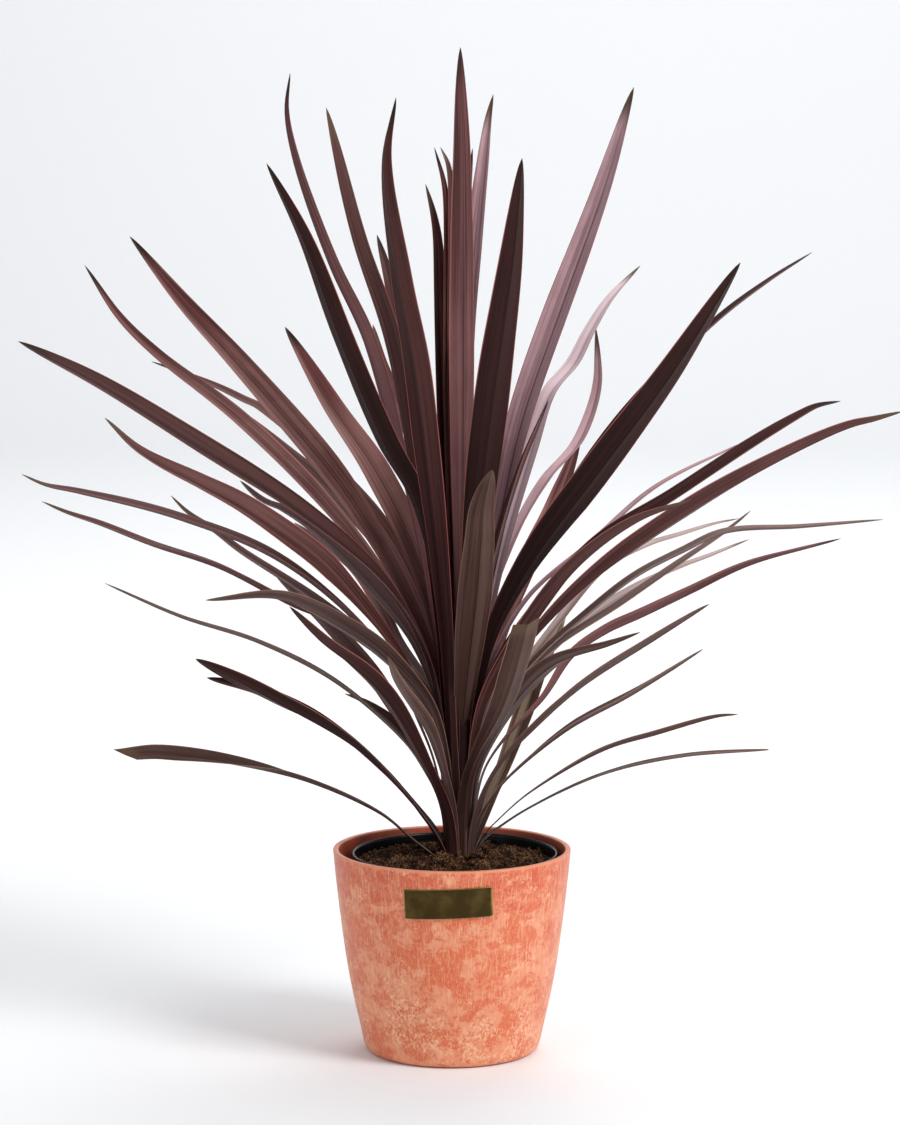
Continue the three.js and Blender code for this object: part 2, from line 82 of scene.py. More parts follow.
class Signal:
    """An output socket of a material, on which arithmetic adds Math nodes."""

    def __init__(self, surface: "Surface", socket: bpy.types.NodeSocket) -> None:
        """Keeps the surface that the socket belongs to."""
        self.surface = surface
        self.socket = socket

    def math(self, operation: str, *values: "Signal | float") -> "Signal":
        """The result of one Math node on the given values."""
        return self.surface.add("ShaderNodeMath", {"operation": operation}, dict(enumerate(values)))

    def __add__(self, other: "Signal | float") -> "Signal":
        """Sum."""
        return self.math("ADD", self, other)

    def __radd__(self, other: float) -> "Signal":
        """Sum with a number in front."""
        return self.math("ADD", other, self)

    def __sub__(self, other: "Signal | float") -> "Signal":
        """Difference."""
        return self.math("SUBTRACT", self, other)

    def __rsub__(self, other: float) -> "Signal":
        """Difference from a number in front."""
        return self.math("SUBTRACT", other, self)

    def __mul__(self, other: "Signal | float") -> "Signal":
        """Product."""
        return self.math("MULTIPLY", self, other)

    def __rmul__(self, other: float) -> "Signal":
        """Product with a number in front."""
        return self.math("MULTIPLY", other, self)

    def __truediv__(self, other: "Signal | float") -> "Signal":
        """Quotient."""
        return self.math("DIVIDE", self, other)

    def size(self) -> "Signal":
        """Absolute value."""
        return self.math("ABSOLUTE", self)

    def rise(self, low: float, high: float, start: float = 0.0, end: float = 1.0) -> "Signal":
        """A smooth step.

        Args:
            low: Value at which the step begins.
            high: Value at which it ends.
            start: Result below low.
            end: Result above high.

        Returns:
            The stepped signal.
        """
        sockets = {"Value": self, "From Min": low, "From Max": high, "To Min": start, "To Max": end}
        return self.surface.add(
            "ShaderNodeMapRange", {"interpolation_type": "SMOOTHSTEP", "clamp": True}, sockets
        )

    def fall(self, low: float, high: float) -> "Signal":
        """One below low, nothing above high, smooth between."""
        return self.rise(low, high, 1.0, 0.0)

    def part(self, axis: str) -> "Signal":
        """The X, Y or Z part of a vector."""
        return self.surface.add("ShaderNodeSeparateXYZ", {}, {0: self}, axis)

    def vector(
        self, operation: str, socket: int | str, value: object, output: int | str = 0
    ) -> "Signal":
        """The result of one Vector Math node on this vector and a value for another socket."""
        settings = {"operation": operation}
        return self.surface.add("ShaderNodeVectorMath", settings, {0: self, socket: value}, output)

    def stretched(self, x: float, y: float, z: float) -> "Signal":
        """The vector with each part multiplied."""
        return self.vector("MULTIPLY", 1, (x, y, z))

    def moved(self, x: float, y: float, z: float) -> "Signal":
        """The vector with an offset added."""
        return self.vector("ADD", 1, (x, y, z))

    def warped(self, by: "Signal", amount: float) -> "Signal":
        """The vector pushed aside by another one, times an amount."""
        return self.vector("ADD", 1, by.vector("SCALE", "Scale", amount))


class Surface:
    """A node material under construction."""

    def __init__(self, name: str) -> None:
        """Starts a material that has only its output.

        Args:
            name: Name of the material.
        """
        self.material = bpy.data.materials.new(name)
        self.material.use_nodes = True
        self.tree = self.material.node_tree
        self.tree.nodes.clear()

    def add(
        self,
        kind: str,
        settings: dict[str, object],
        sockets: dict[int | str, object],
        output: int | str = 0,
    ) -> Signal:
        """Adds one node.

        Args:
            kind: Type of the node.
            settings: Its settings, set first.
            sockets: Values or links of its inputs, by name or number.
            output: Which output is returned.

        Returns:
            The chosen output.
        """
        node = self.tree.nodes.new(kind)
        for name, value in settings.items():
            setattr(node, name, value)
        for name, value in sockets.items():
            if isinstance(value, Signal):
                self.tree.links.new(value.socket, node.inputs[name])
            else:
                node.inputs[name].default_value = value
        return Signal(self, node.outputs[output])

    def place(self) -> Signal:
        """Where a point lies in the object, in metres."""
        return self.add("ShaderNodeTexCoord", {}, {}, "Object")

    def attribute(self, name: str) -> Signal:
        """A vector that the mesh carries."""
        settings = {"attribute_type": "GEOMETRY", "attribute_name": name}
        return self.add("ShaderNodeAttribute", settings, {}, "Vector")

    def noise(
        self, at: Signal, scale: float, detail: float = 2.0, roughness: float = 0.5, twist: float = 0.0
    ) -> Signal:
        """Fractal noise.

        Args:
            at: Where it is read.
            scale: Waves for each unit of the vector.
            detail: Octaves.
            roughness: Strength of each finer octave.
            twist: How far the pattern bends itself.

        Returns:
            The noise, about 0.2 to 0.8.
        """
        sockets = {
            "Vector": at, "Scale": scale, "Detail": detail, "Roughness": roughness, "Distortion": twist,
        }
        return self.add("ShaderNodeTexNoise", {"noise_dimensions": "3D"}, sockets)

    def swirl(self, at: Signal, scale: float) -> Signal:
        """A vector of three noises, to warp another pattern with."""
        return self.add("ShaderNodeTexNoise", {}, {"Vector": at, "Scale": scale, "Detail": 2.0}, "Color")

    def mix(self, first: Signal | Colour, second: Signal | Colour, share: Signal | float) -> Signal:
        """The first colour turning into the second."""
        sockets = {0: share, 6: first, 7: second}
        return self.add("ShaderNodeMix", {"data_type": "RGBA", "clamp_factor": True}, sockets, 2)

    def layered(
        self, base: Signal | Colour, *layers: tuple[Signal | Colour, Signal | float]
    ) -> Signal:
        """The base colour with each further colour laid over it by its share."""
        for colour, share in layers:
            base = self.mix(base, colour, share)
        return base

    def bump(self, height: Signal, distance: float) -> Signal:
        """A bumped normal.

        Args:
            height: Relief, 0 to 1.
            distance: Depth of a full unit of it, in metres.

        Returns:
            The normal.
        """
        return self.add("ShaderNodeBump", {}, {"Strength": 1.0, "Distance": distance, "Height": height})

    def finish(self, sockets: dict[str, object]) -> bpy.types.Material:
        """Closes the material with a Principled shader.

        Args:
            sockets: Values or links of the shader's inputs.

        Returns:
            The finished material.
        """
        shader = self.add("ShaderNodeBsdfPrincipled", {}, sockets)
        output = self.tree.nodes.new("ShaderNodeOutputMaterial")
        self.tree.links.new(shader.socket, output.inputs["Surface"])
        return self.material


def baked(name: str, mesh: bmesh.types.BMesh, soft: bool = True) -> bpy.types.Mesh:
    """Mesh data made of a bmesh, which is freed.

    Args:
        name: Name of the data.
        mesh: The finished mesh.
        soft: Whether its faces are shaded smoothly.

    Returns:
        The data.
    """
    data = bpy.data.meshes.new(name)
    for face in mesh.faces:
        face.smooth = soft
    mesh.to_mesh(data)
    mesh.free()
    return data


def placed(name: str, data: bpy.types.ID) -> bpy.types.Object:
    """A new object of the scene that shows the data."""
    thing = bpy.data.objects.new(name, data)
    bpy.context.scene.collection.objects.link(thing)
    return thing


def rounded(
    mesh: bmesh.types.BMesh,
    edges: list[bmesh.types.BMEdge],
    offset: float,
    segments: int,
    clamp: bool = False,
) -> None:
    """Rounds some edges of a mesh.

    Args:
        mesh: The mesh.
        edges: The edges.
        offset: How far the rounding reaches from each.
        segments: Steps of the rounding.
        clamp: Whether it stops where it would meet another one.
    """
    bmesh.ops.bevel(
        mesh, geom=edges, offset=offset, segments=segments, profile=0.5, affect="EDGES",
        material=-1, clamp_overlap=clamp,
    )


def publish(
    name: str, mesh: bmesh.types.BMesh, material: bpy.types.Material, slot: str, *nodes: str
) -> bpy.types.Object:
    """Turns a bmesh into a piece of the object.

    Args:
        name: Name of the piece.
        mesh: Its finished mesh, which is freed.
        material: Its finish.
        slot: The record's material slot; not used.
        nodes: The nodes that it stands for.

    Returns:
        The piece.
    """
    data = baked(name, mesh)
    data.set_sharp_from_angle(angle=SHARP_ANGLE)
    data.materials.append(material)
    piece = placed(name, data)
    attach(piece, ROOT)
    if nodes:
        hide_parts(*nodes)
    LOG.info("%s: %d faces", name, len(data.polygons))
    return piece


def turned(profile: Profile, steps: int, centre: float = 0.0) -> bmesh.types.BMesh:
    """A closed solid of revolution about an upright axis.

    Args:
        profile: Radius and height pairs in metres, from the axis below to the axis above.
        steps: Steps round the axis.
        centre: Where the axis stands along X.

    Returns:
        The solid, its faces pointing out.
    """
    mesh = bmesh.new()
    points = [mesh.verts.new((centre + radius, 0, height)) for radius, height in profile]
    edges = [mesh.edges.new(pair) for pair in zip(points, points[1:])]
    bmesh.ops.spin(
        mesh, geom=points + edges, cent=(centre, 0, 0), axis=(0, 0, 1), angle=2 * math.pi,
        steps=steps, use_merge=True,
    )
    bmesh.ops.remove_doubles(mesh, verts=mesh.verts, dist=TOUCH)
    bmesh.ops.recalc_face_normals(mesh, faces=mesh.faces)
    return mesh


def flowing(points: Profile, pieces: int) -> Profile:
    """A smooth line through a few points.

    Args:
        points: Radius and height pairs.
        pieces: Steps between each pair.

    Returns:
        The finer line, which passes through every point.
    """
    line: Profile = []
    last = len(points) - 1
    for i in range(last):
        before = points[max(0, i - 1)]
        here = points[i]
        there = points[i + 1]
        after = points[min(last, i + 2)]
        for k in range(pieces):
            t = k / pieces
            line.append(tuple(
                0.5 * (2 * b + (c - a) * t + (2 * a - 5 * b + 4 * c - d) * t * t
                       + (3 * b - a - 3 * c + d) * t ** 3)
                for a, b, c, d in zip(before, here, there, after)
            ))
    line.append(points[last])
    return line


@dataclass(frozen=True)
class Terracotta:
    """Matt terracotta with salmon washes, crisp deeper patches, fine upright streaks and pale flakes.

    The mesh carries a vector, wall, that is 1 along X on the inner wall, which is painted a darker
    red-brown as painted shade.
    """

    clay: Colour = paint("d3653a")
    deep: Colour = paint("c64a20")
    wash: Colour = paint("e08e68")
    flake: Colour = paint("f0c49c")
    # Painted shade: the darker red-brown of the shadowed inner wall.
    inner: Colour = paint("a23f24")
    height: float = 0.158
    flaky_spot: tuple[float, float, float] = (-0.028, -0.068, 0.036)

    def material(self) -> bpy.types.Material:
        """The finished material."""
        surface = Surface("terracotta")
        at = surface.place()
        level = at.part("Z") / self.height
        bent = at.warped(surface.swirl(at, 60), 0.004)
        flat = bent.stretched(1, 1, 1.5)
        washes = surface.noise(flat.moved(3.1, 1.7, 0.4), 40, 10, 0.74, 0.3)
        patches = surface.noise(flat.moved(0.6, 4.7, 2.4), 80, 10, 0.76, 0.4)
        streaks = surface.noise(at.stretched(520, 520, 22), 1, 3, 0.6)
        hairs = surface.noise(at.moved(5, 5, 5).stretched(1400, 1400, 60), 1, 2, 0.5)
        crumbs = surface.noise(bent.moved(9, 4, 2).stretched(1, 1, 0.8), 420, 6, 0.78, 0.5)
        clusters = surface.noise(flat.moved(2, 8, 6), 34, 7, 0.7, 0.3)
        wash = washes.rise(0.45, 0.56)
        heat = level.rise(0.55, 0.97, -0.03, 0.075) + level.fall(0.02, 0.45) * -0.01
        deep = (patches + heat).rise(0.52, 0.59)
        band = level.rise(0.84, 0.93) * patches.rise(0.36, 0.56)
        tide = (washes - 0.505).size().fall(0.0, 0.012) * patches.rise(0.42, 0.6)
        apart = at.vector("DISTANCE", 1, self.flaky_spot, "Value")
        low = level.fall(0.1, 0.6) * 0.1 + apart.fall(0.008, 0.034) * 0.12
        flaky = (clusters + low).rise(0.56, 0.64)
        fleck = crumbs.rise(0.50, 0.58) * flaky
        chips = crumbs.fall(0.38, 0.45) * flaky
        # Painted highlight: the top of the lip is painted lighter, in the wash colour.
        lip = level.rise(0.984, 0.994)
        # Painted shade: the inner wall takes the darker inner colour.
        inside = surface.attribute("wall").part("X")
        colour = surface.layered(
            self.clay,
            (self.wash, wash),
            (self.deep, deep * 0.68),
            (self.deep, band * 0.5),
            (self.flake, tide * 0.34),
            (self.flake, streaks.rise(0.53, 0.68) * 0.28),
            (self.deep, streaks.fall(0.3, 0.47) * 0.28),
            (self.flake, hairs.rise(0.52, 0.68) * 0.3),
            (self.flake, fleck * 0.7),
            (self.deep, chips * 0.7),
            (self.wash, lip * 0.7),
            (self.inner, inside * 0.85),
        )
        relief = streaks * 0.3 + crumbs * 0.35 + hairs * 0.2 + wash * 0.15
        return surface.finish({
            "Base Color": colour,
            "Roughness": 0.44 + wash * 0.1 + fleck * 0.14,
            "Specular IOR Level": 0.5,
            "Coat Weight": 0.22,
            "Coat Roughness": 0.34,
            "Normal": surface.bump(relief, 0.0002),
        })


@dataclass(frozen=True)
class BlackPlastic:
    """Thin moulded black plastic with a soft gloss."""

    base: Colour = paint("08080a")
    dust: Colour = paint("1d1b1e")

    def material(self) -> bpy.types.Material:
        """The finished material."""
        surface = Surface("black_plastic")
        at = surface.place()
        smudge = surface.noise(at, 60, 5, 0.6)
        fine = surface.noise(at.stretched(700, 700, 300), 1, 2)
        colour = surface.mix(self.base, self.dust, smudge.rise(0.5, 0.75) * 0.35)
        return surface.finish({
            "Base Color": colour,
            "Roughness": 0.16 + smudge * 0.2,
            "Specular IOR Level": 0.16,
            "Normal": surface.bump(fine, 0.00008),
        })


@dataclass(frozen=True)
class Peat:
    """Coarse dark peat, each clod of its own brown, with lighter fibre here and there."""

    dark: Colour = paint("0c0604")
    brown: Colour = paint("3c2116")
    fibre: Colour = paint("a57852")

    def material(self, name: str, lightness: float = 0.0) -> bpy.types.Material:
        """The finished material.

        Args:
            name: Name of the material.
            lightness: How much more of the lighter fibre colour shows.

        Returns:
            The material.
        """
        surface = Surface(name)
        at = surface.place()
        clods = surface.noise(at, 170, 6, 0.7, 0.5)
        lumps = surface.noise(at.moved(2, 6, 3), 60, 4, 0.6)
        grit = surface.noise(at.moved(4, 2, 1), 800, 4, 0.7)
        strands = surface.noise(at.warped(surface.swirl(at, 160), 0.012), 520, 3, 0.7, 1.5)
        light = strands.rise(0.52, 0.62) * (lumps + clods * 0.4).rise(0.56, 0.74)
        share = light * (0.7 + lightness) + lumps.rise(0.5, 0.66) * lightness
        colour = surface.layered(
            self.dark, (self.brown, clods.rise(0.44, 0.60)), (self.fibre, share),
        )
        return surface.finish({
            "Base Color": colour,
            "Roughness": 0.86 + grit * 0.1,
            "Specular IOR Level": 0.12,
            "Normal": surface.bump(clods * 0.5 + grit * 0.5, 0.0014),
        })


@dataclass(frozen=True)
class AgedBrass:
    """Dark brushed brass, brighter along its edges."""

    dark: Colour = paint("3f3116")
    bright: Colour = paint("a08c50")

    def material(self) -> bpy.types.Material:
        """The finished material."""
        surface = Surface("aged_brass")
        at = surface.place()
        brushed = surface.noise(at.stretched(60, 60, 2600), 1, 3, 0.6)
        cloud = surface.noise(at, 70, 4, 0.6)
        rim = surface.attribute("rim").part("X")
        colour = surface.mix(self.dark, self.bright, cloud.rise(0.4, 0.7) * 0.14 + rim * 0.9)
        return surface.finish({
            "Base Color": colour,
            "Roughness": 0.3 + brushed * 0.16 - rim * 0.1,
            "Metallic": 0.92,
            "Normal": surface.bump(brushed, 0.00005),
        })


# The dark rib colour also paints shade at the leaf bases round the crown.
RIB_AND_PAINTED_CROWN_SHADE = paint("180b0a")
EDGE_ROSE = paint("a25c55")
EDGE_TAN = paint("9a705c")
TIP_DARK = paint("2a1a16")
TIP_OLIVE = paint("5a4638")


@dataclass(frozen=True)
class LeafFinish:
    """The skin of a leaf.

    The mesh carries two vectors: blade holds the place across (-1 to 1, 0 at the rib), the share
    of the length and which face it is; grain holds the distance across and along in metres, and
    a number of the leaf's own. Painted sheen: lighter, pinker lengthwise bands and a lighter stretch
    along the blade stand for light reflected from the satin face; the same colour also makes the
    underside a little paler. Painted shade: the base of the blade is darker towards the crown.
    """

    skin: Colour
    stripe: Colour
    painted_sheen_and_underside: Colour
    rib: Colour = RIB_AND_PAINTED_CROWN_SHADE
    edge: Colour = EDGE_ROSE
    tip: Colour = TIP_DARK
    painted_sheen_from: float = 0.35
    painted_sheen_to: float = 0.8
    painted_sheen_share: float = 0.5
    painted_sheen_end: float = 1.2
    tip_from: float = 0.95
    gloss: float = 0.46

    def material(self, name: str) -> bpy.types.Material:
        """The finished material.

        Args:
            name: Name of the material.

        Returns:
            The material.
        """
        surface = Surface(name)
        blade = surface.attribute("blade")
        grain = surface.attribute("grain")
        across = blade.part("X")
        along = blade.part("Y")
        face = blade.part("Z")
        edge_share = across.size()
        fine = surface.noise(grain.stretched(720, 5, 1), 1, 4, 0.66)
        broad = surface.noise(grain.stretched(250, 2.6, 1).moved(7, 3, 1), 1, 3, 0.6)
        cloud = surface.noise(grain.stretched(40, 16, 1).moved(1, 9, 4), 1, 4, 0.6)
        # Painted sheen: broad lengthwise bands, laid in the sheen colour.
        painted_sheen_bands = surface.noise(grain.stretched(110, 1.8, 1).moved(3, 5, 2), 1, 2, 0.5)
        stripes = (fine * 0.55 + broad * 0.45).rise(0.45, 0.55)
        # Painted sheen: a lighter, pinker stretch along the blade where the satin face would reflect light.
        spread = along.rise(self.painted_sheen_from, self.painted_sheen_to) * (cloud.rise(0.34, 0.6) * 0.5 + 0.5)
        spread = spread * along.fall(self.painted_sheen_end - 0.15, self.painted_sheen_end)
        spread = spread * (broad.rise(0.36, 0.58) * 0.5 + 0.5)
        rib = edge_share.fall(0.015, 0.06) * (1 - along.rise(0.75, 0.98))
        beside = edge_share.rise(0.05, 0.08) * edge_share.fall(0.10, 0.18)
        # Painted shade: the base of the blade is darker towards the crown, laid in the rib colour.
        root = along.fall(0.0, 0.22)
        margin = (edge_share + fine * 0.012).rise(0.945, 0.985)
        point = (along + fine * 0.03 + edge_share * 0.015).rise(self.tip_from, self.tip_from + 0.05)
        under = 1 - face
        colour = surface.layered(
            self.skin,
            (self.stripe, stripes),
            (self.painted_sheen_and_underside, painted_sheen_bands.rise(0.5, 0.6) * 0.46),
            (self.painted_sheen_and_underside, spread * self.painted_sheen_share),
            (self.rib, rib * 0.75),
            (self.stripe, beside * 0.5),
            (self.rib, root * 0.45),
            (self.edge, margin * (broad.rise(0.34, 0.56) * 0.5 + 0.45)),
            (self.tip, point),
            (self.painted_sheen_and_underside, under * 0.1),
        )
        relief = fine * 0.6 + broad * 0.4
        return surface.finish({
            "Base Color": colour,
            "Roughness": self.gloss + stripes * 0.07 + cloud * 0.08,
            "Specular IOR Level": 0.15,
            "Specular Tint": (1.0, 0.76, 0.72, 1.0),
            "Normal": surface.bump(relief, 0.00022),
        })


class Tone(Enum):
    """The finishes that leaves of this plant have."""

    NIGHT = LeafFinish(paint("140908"), paint("261210"), paint("3a201f"))
    DARK = LeafFinish(paint("1e0d0c"), paint("361b19"), paint("573634"))
    BURGUNDY = LeafFinish(paint("2b1412"), paint("4b2a27"), paint("6f4b48"), tip=TIP_OLIVE)
    BROWN = LeafFinish(paint("35211e"), paint("553e39"), paint("7c6661"), edge=EDGE_TAN, tip=TIP_OLIVE)
    OLIVE = LeafFinish(
        paint("281511"), paint("452c24"), paint("5f4741"), edge=EDGE_TAN, tip=TIP_OLIVE,
        painted_sheen_from=0.3, painted_sheen_to=0.85, painted_sheen_share=0.75,
    )
    ROSE = LeafFinish(
        paint("40201f"), paint("6c403e"), paint("a0756f"),
        painted_sheen_from=0.15, painted_sheen_to=0.4, painted_sheen_share=0.6, painted_sheen_end=0.85,
    )
    # Painted reflection: the pale pink skin and wide sheen of this finish stand for a leaf face that
    # reflects the key light.
    MAUVE = LeafFinish(
        paint("6f4c50"), paint("997378"), paint("c6a4aa"), rib=paint("33171a"), tip=TIP_OLIVE,
        painted_sheen_from=0.1, painted_sheen_to=0.4, painted_sheen_share=0.75,
    )
    PALE = LeafFinish(
        paint("7c5f57"), paint("9a827b"), paint("b9a7a5"), rib=paint("6a4c48"), edge=EDGE_TAN, tip=TIP_OLIVE,
        painted_sheen_from=0.1, painted_sheen_to=0.55, painted_sheen_share=0.8,
    )
    BLUSH = LeafFinish(
        paint("b39a9f"), paint("cab4b9"), paint("d6c2c7"), rib=paint("9a7c82"), edge=EDGE_TAN, tip=TIP_OLIVE,
        painted_sheen_from=0.1, painted_sheen_to=0.4, painted_sheen_share=0.7,
    )
    STRIPED = LeafFinish(
        paint("2a1312"), paint("5c3734"), paint("94686a"),
        painted_sheen_from=0.05, painted_sheen_to=0.25, painted_sheen_share=0.4, painted_sheen_end=0.72,
    )
    TAN = LeafFinish(
        paint("352019"), paint("553f31"), paint("9c8b75"), edge=EDGE_TAN, tip=paint("a89a84"),
        painted_sheen_from=0.6, painted_sheen_to=0.85, painted_sheen_share=0.9,
    )


@dataclass
class Stem:
    """The short stem that all leaves leave, from the soil up to the growing tip."""

    x: float = 6 * MM
    foot: float = 96 * MM
    soil_level: float = 147 * MM
    tip: float = 256 * MM
    soil_radius: float = 10 * MM
    tip_radius: float = 4.4 * MM
    chamfer: float = 2 * MM
    rings: int = 26
    ring_depth: float = 0.35 * MM
    steps: int = 48

    def radius(self, height: float) -> float:
        """Radius of the stem at a height."""
        share = max(0.0, (height - self.soil_level) / (self.tip - self.soil_level))
        return self.soil_radius + (self.tip_radius - self.soil_radius) * share

    def build(self) -> bmesh.types.BMesh:
        """The core of the stem, ringed where old leaves were."""
        profile = [(0.0, self.foot), (self.soil_radius, self.foot)]
        for i in range(self.rings + 1):
            height = self.soil_level + (self.tip - self.chamfer - self.soil_level) * i / self.rings
            profile.append((self.radius(height) - (self.ring_depth if i % 2 else 0.0), height))
        profile += [(self.tip_radius - self.chamfer, self.tip), (0.0, self.tip)]
        return turned(profile, self.steps, self.x)


@dataclass
class Leaf:
    """One sword-shaped leaf, in millimetres and degrees as the part gives it.

    The leaf lies in the upright plane at azimuth through the stem's axis. base is the height at
    which it leaves the stem, rib its midrib as reach and height, and roll turns its upper face
    about the rib, halfway and at the tip. foot is the way below the rib where it isn't the usual
    one, end the share of its length that a blunt leaf keeps, and slant how far that end is cut
    askew.
    """

    node: str
    azimuth: float
    base: float
    width: float
    roll: tuple[float, float]
    rib: Profile
    tone: Tone
    piece: str = ""
    foot: Profile = field(default_factory=list)
    end: float = 1.0
    slant: float = 0.0
    number: int = 0


@dataclass
class Station:
    """The frame of a blade at one share of its length."""

    centre: Vector
    side: Vector
    up: Vector
    half: float
    fold: float
    share: float
    reach: float
    clasp: float


@dataclass
class Blade:
    """Shapes one leaf as a thin folded blade with a raised rib and a foot that clasps the crown.

    steepest limits how late the way from the crown to the rib bows out. Where that way is long it
    takes the blade off its solid, leaf_left_16 by up to 58 mm at 3.8 and by 25 mm at 2.2.
    """

    leaf: Leaf
    stem: Stem
    rows: int = 124
    columns: int = 14
    foot_level: float = 149.0
    crown_radius: float = 9.8
    crown_step: float = 0.026
    clasp_from: float = 165.0
    clasp_to: float = 262.0
    foot_width: float = 0.52
    steepest: float = 3.8
    thickness: float = 0.8
    edge_thickness: float = 0.36
    rib_height: float = 0.45
    base_share: float = 0.34
    widest_at: float = 0.62
    tip_share: float = 0.012
    taper: float = 4.5
    taper_curve: float = 0.68
    fold_base: float = 12.0
    fold_middle: float = 24.0
    crease: float = 0.004
    arch: float = 0.05
    ripple: float = 0.02
    waver: float = 0.012
    rib_spread: float = 0.07
    blunt_from: float = 0.8
    tightest: float = 8.0
    grain_step: float = 0.37
    dense: int = 24
    length: float = field(init=False, default=0.0)

    def width_share(self, share: float) -> float:
        """Share of the full width: narrow above the foot, widest beyond the middle, sharp point."""
        swell = self.base_share + (1 - self.base_share) * smooth(share / self.widest_at)
        return max(self.tip_share, swell * max(0.0, 1 - share ** self.taper) ** self.taper_curve)

    def route(self) -> Profile:
        """The midrib's way from the soil to the tip, as reach and height in millimetres."""
        leaf = self.leaf
        if leaf.foot:
            return [*leaf.foot, *leaf.rib]
        (reach, height), (next_reach, next_height) = leaf.rib[:2]
        foot = self.crown_radius + self.crown_step * (self.stem.tip / MM - leaf.base)
        rise = height - self.foot_level
        slope = (next_reach - reach) / (next_height - height)
        power = min(self.steepest, max(1.0, slope * rise / (reach - foot)))
        way = [
            (foot + (reach - foot) * share ** power, self.foot_level + rise * share)
            for share in (0.0, 0.25, 0.5, 0.75)
        ]
        return [*way, *leaf.rib]

    def curve(self) -> Profile:
        """A dense centripetal curve through the route."""
        points = [Vector(p) for p in self.route()]
        points = [2 * points[0] - points[1], *points, 2 * points[-1] - points[-2]]
        line: Profile = []
        for a, b, c, d in zip(points, points[1:], points[2:], points[3:]):
            gaps = [math.sqrt((q - p).length) for p, q in ((a, b), (b, c), (c, d))]
            leave = ((b - a) / gaps[0] - (c - a) / (gaps[0] + gaps[1]) + (c - b) / gaps[1]) * gaps[1]
            reach = ((c - b) / gaps[1] - (d - b) / (gaps[1] + gaps[2]) + (d - c) / gaps[2]) * gaps[1]
            for k in range(self.dense):
                t = k / self.dense
                point = (
                    b + leave * t + (3 * (c - b) - 2 * leave - reach) * t * t
                    + (2 * (b - c) + leave + reach) * t ** 3
                )
                line.append((point.x, point.y))
        line.append(tuple(points[-2]))
        return line

    def stations(self) -> Iterator[Station]:
        """The frames of every row, equally spaced along the midrib."""
        leaf = self.leaf
        angle = math.radians(leaf.azimuth)
        out = Vector((math.cos(angle), math.sin(angle), 0))
        across = Vector((-out.y, out.x, 0))
        line = [Vector(p) for p in self.curve()]
        travelled = [0.0]
        for p, q in zip(line, line[1:]):
            travelled.append(travelled[-1] + (q - p).length)
        sunk = max((d for p, d in zip(line, travelled) if p.y < leaf.base), default=0.0)
        free = travelled[-1] - sunk
        self.length = travelled[-1] * MM
        place = 0
        for row in range(self.rows + 1):
            goal = travelled[-1] * row / self.rows
            while place < len(line) - 2 and travelled[place + 1] < goal:
                place += 1
            t = (goal - travelled[place]) / (travelled[place + 1] - travelled[place])
            point = line[place].lerp(line[place + 1], t)
            before = line[max(0, place - 1)]
            after = line[min(len(line) - 1, place + 2)]
            heading = (after - before).normalized()
            along = out * heading.x + Vector((0, 0, heading.y))
            share = max(0.0, (goal - sunk) / free)
            first, last = leaf.roll
            turn = first * 2 * share if share < 0.5 else first + (last - first) * (2 * share - 1)
            swing = Matrix.Rotation(-math.radians(turn), 3, along)
            fold = self.fold_base + (self.fold_middle - self.fold_base) * min(1.0, 3 * share)
            centre = Vector((self.stem.x / MM, 0, 0)) + out * point.x + Vector((0, 0, point.y))
            clasp = 0.0
            if not leaf.foot:
                clasp = 1 - smooth((point.y - self.clasp_from) / (self.clasp_to - self.clasp_from))
            wide = self.width_share(share * leaf.end)
            half = leaf.width * (wide + (max(wide, self.foot_width) - wide) * clasp) / 2
            up = swing @ along.cross(across)
            tilt = math.radians(fold)
            yield Station(centre, swing @ across, up, half, tilt, share, point.x, clasp)

    def surface_point(self, station: Station, across: float, face: float) -> Vector:
        """Where one point of the blade lies.

        Args:
            station: The frame of its row.
            across: -1 at one edge, 0 at the rib, 1 at the other edge.
            face: 1 on the upper face, 0 on the lower.

        Returns:
            The point, in metres.
        """
        size = abs(across)
        number = self.leaf.number
        share = station.share
        trough = math.sqrt(size * size + self.crease) - 0.5
        arch = self.arch * math.sin(math.pi * size)
        wave = math.sin(share * (17 + number % 5) + number * 1.9 + 2 * across)
        ripple = self.ripple * size * size * wave
        lift = (trough + arch) * station.half * math.sin(station.fold) + ripple * station.half
        thickness = self.thickness + (self.edge_thickness - self.thickness) * size ** 1.5
        thickness *= min(1.0, 0.35 + station.half / 3)
        rib = self.rib_height * math.exp(-((size / self.rib_spread) ** 2)) * min(1.0, station.half / 5)
        skin = (face - 0.5) * thickness - (1 - face) * rib
        waver = 1 + self.waver * math.sin(share * 31 + number + across)
        aside = across * station.half * math.cos(station.fold) * waver
        blunt = max(0.0, share - self.blunt_from) / (1 - self.blunt_from)
        cut = 2 * across * station.half * self.leaf.slant * blunt
        ahead = station.side.cross(station.up)
        point = station.centre + station.side * aside + station.up * (lift + skin) - ahead * cut
        if station.clasp > 0:
            radius = max(self.tightest, station.reach)
            turn = math.radians(self.leaf.azimuth) + across * station.half / radius
            out = Vector((math.cos(turn), math.sin(turn), 0)) * (radius - skin)
            wrapped = Vector((self.stem.x / MM, 0, station.centre.z)) + out
            point = point.lerp(wrapped, station.clasp)
        return point * MM

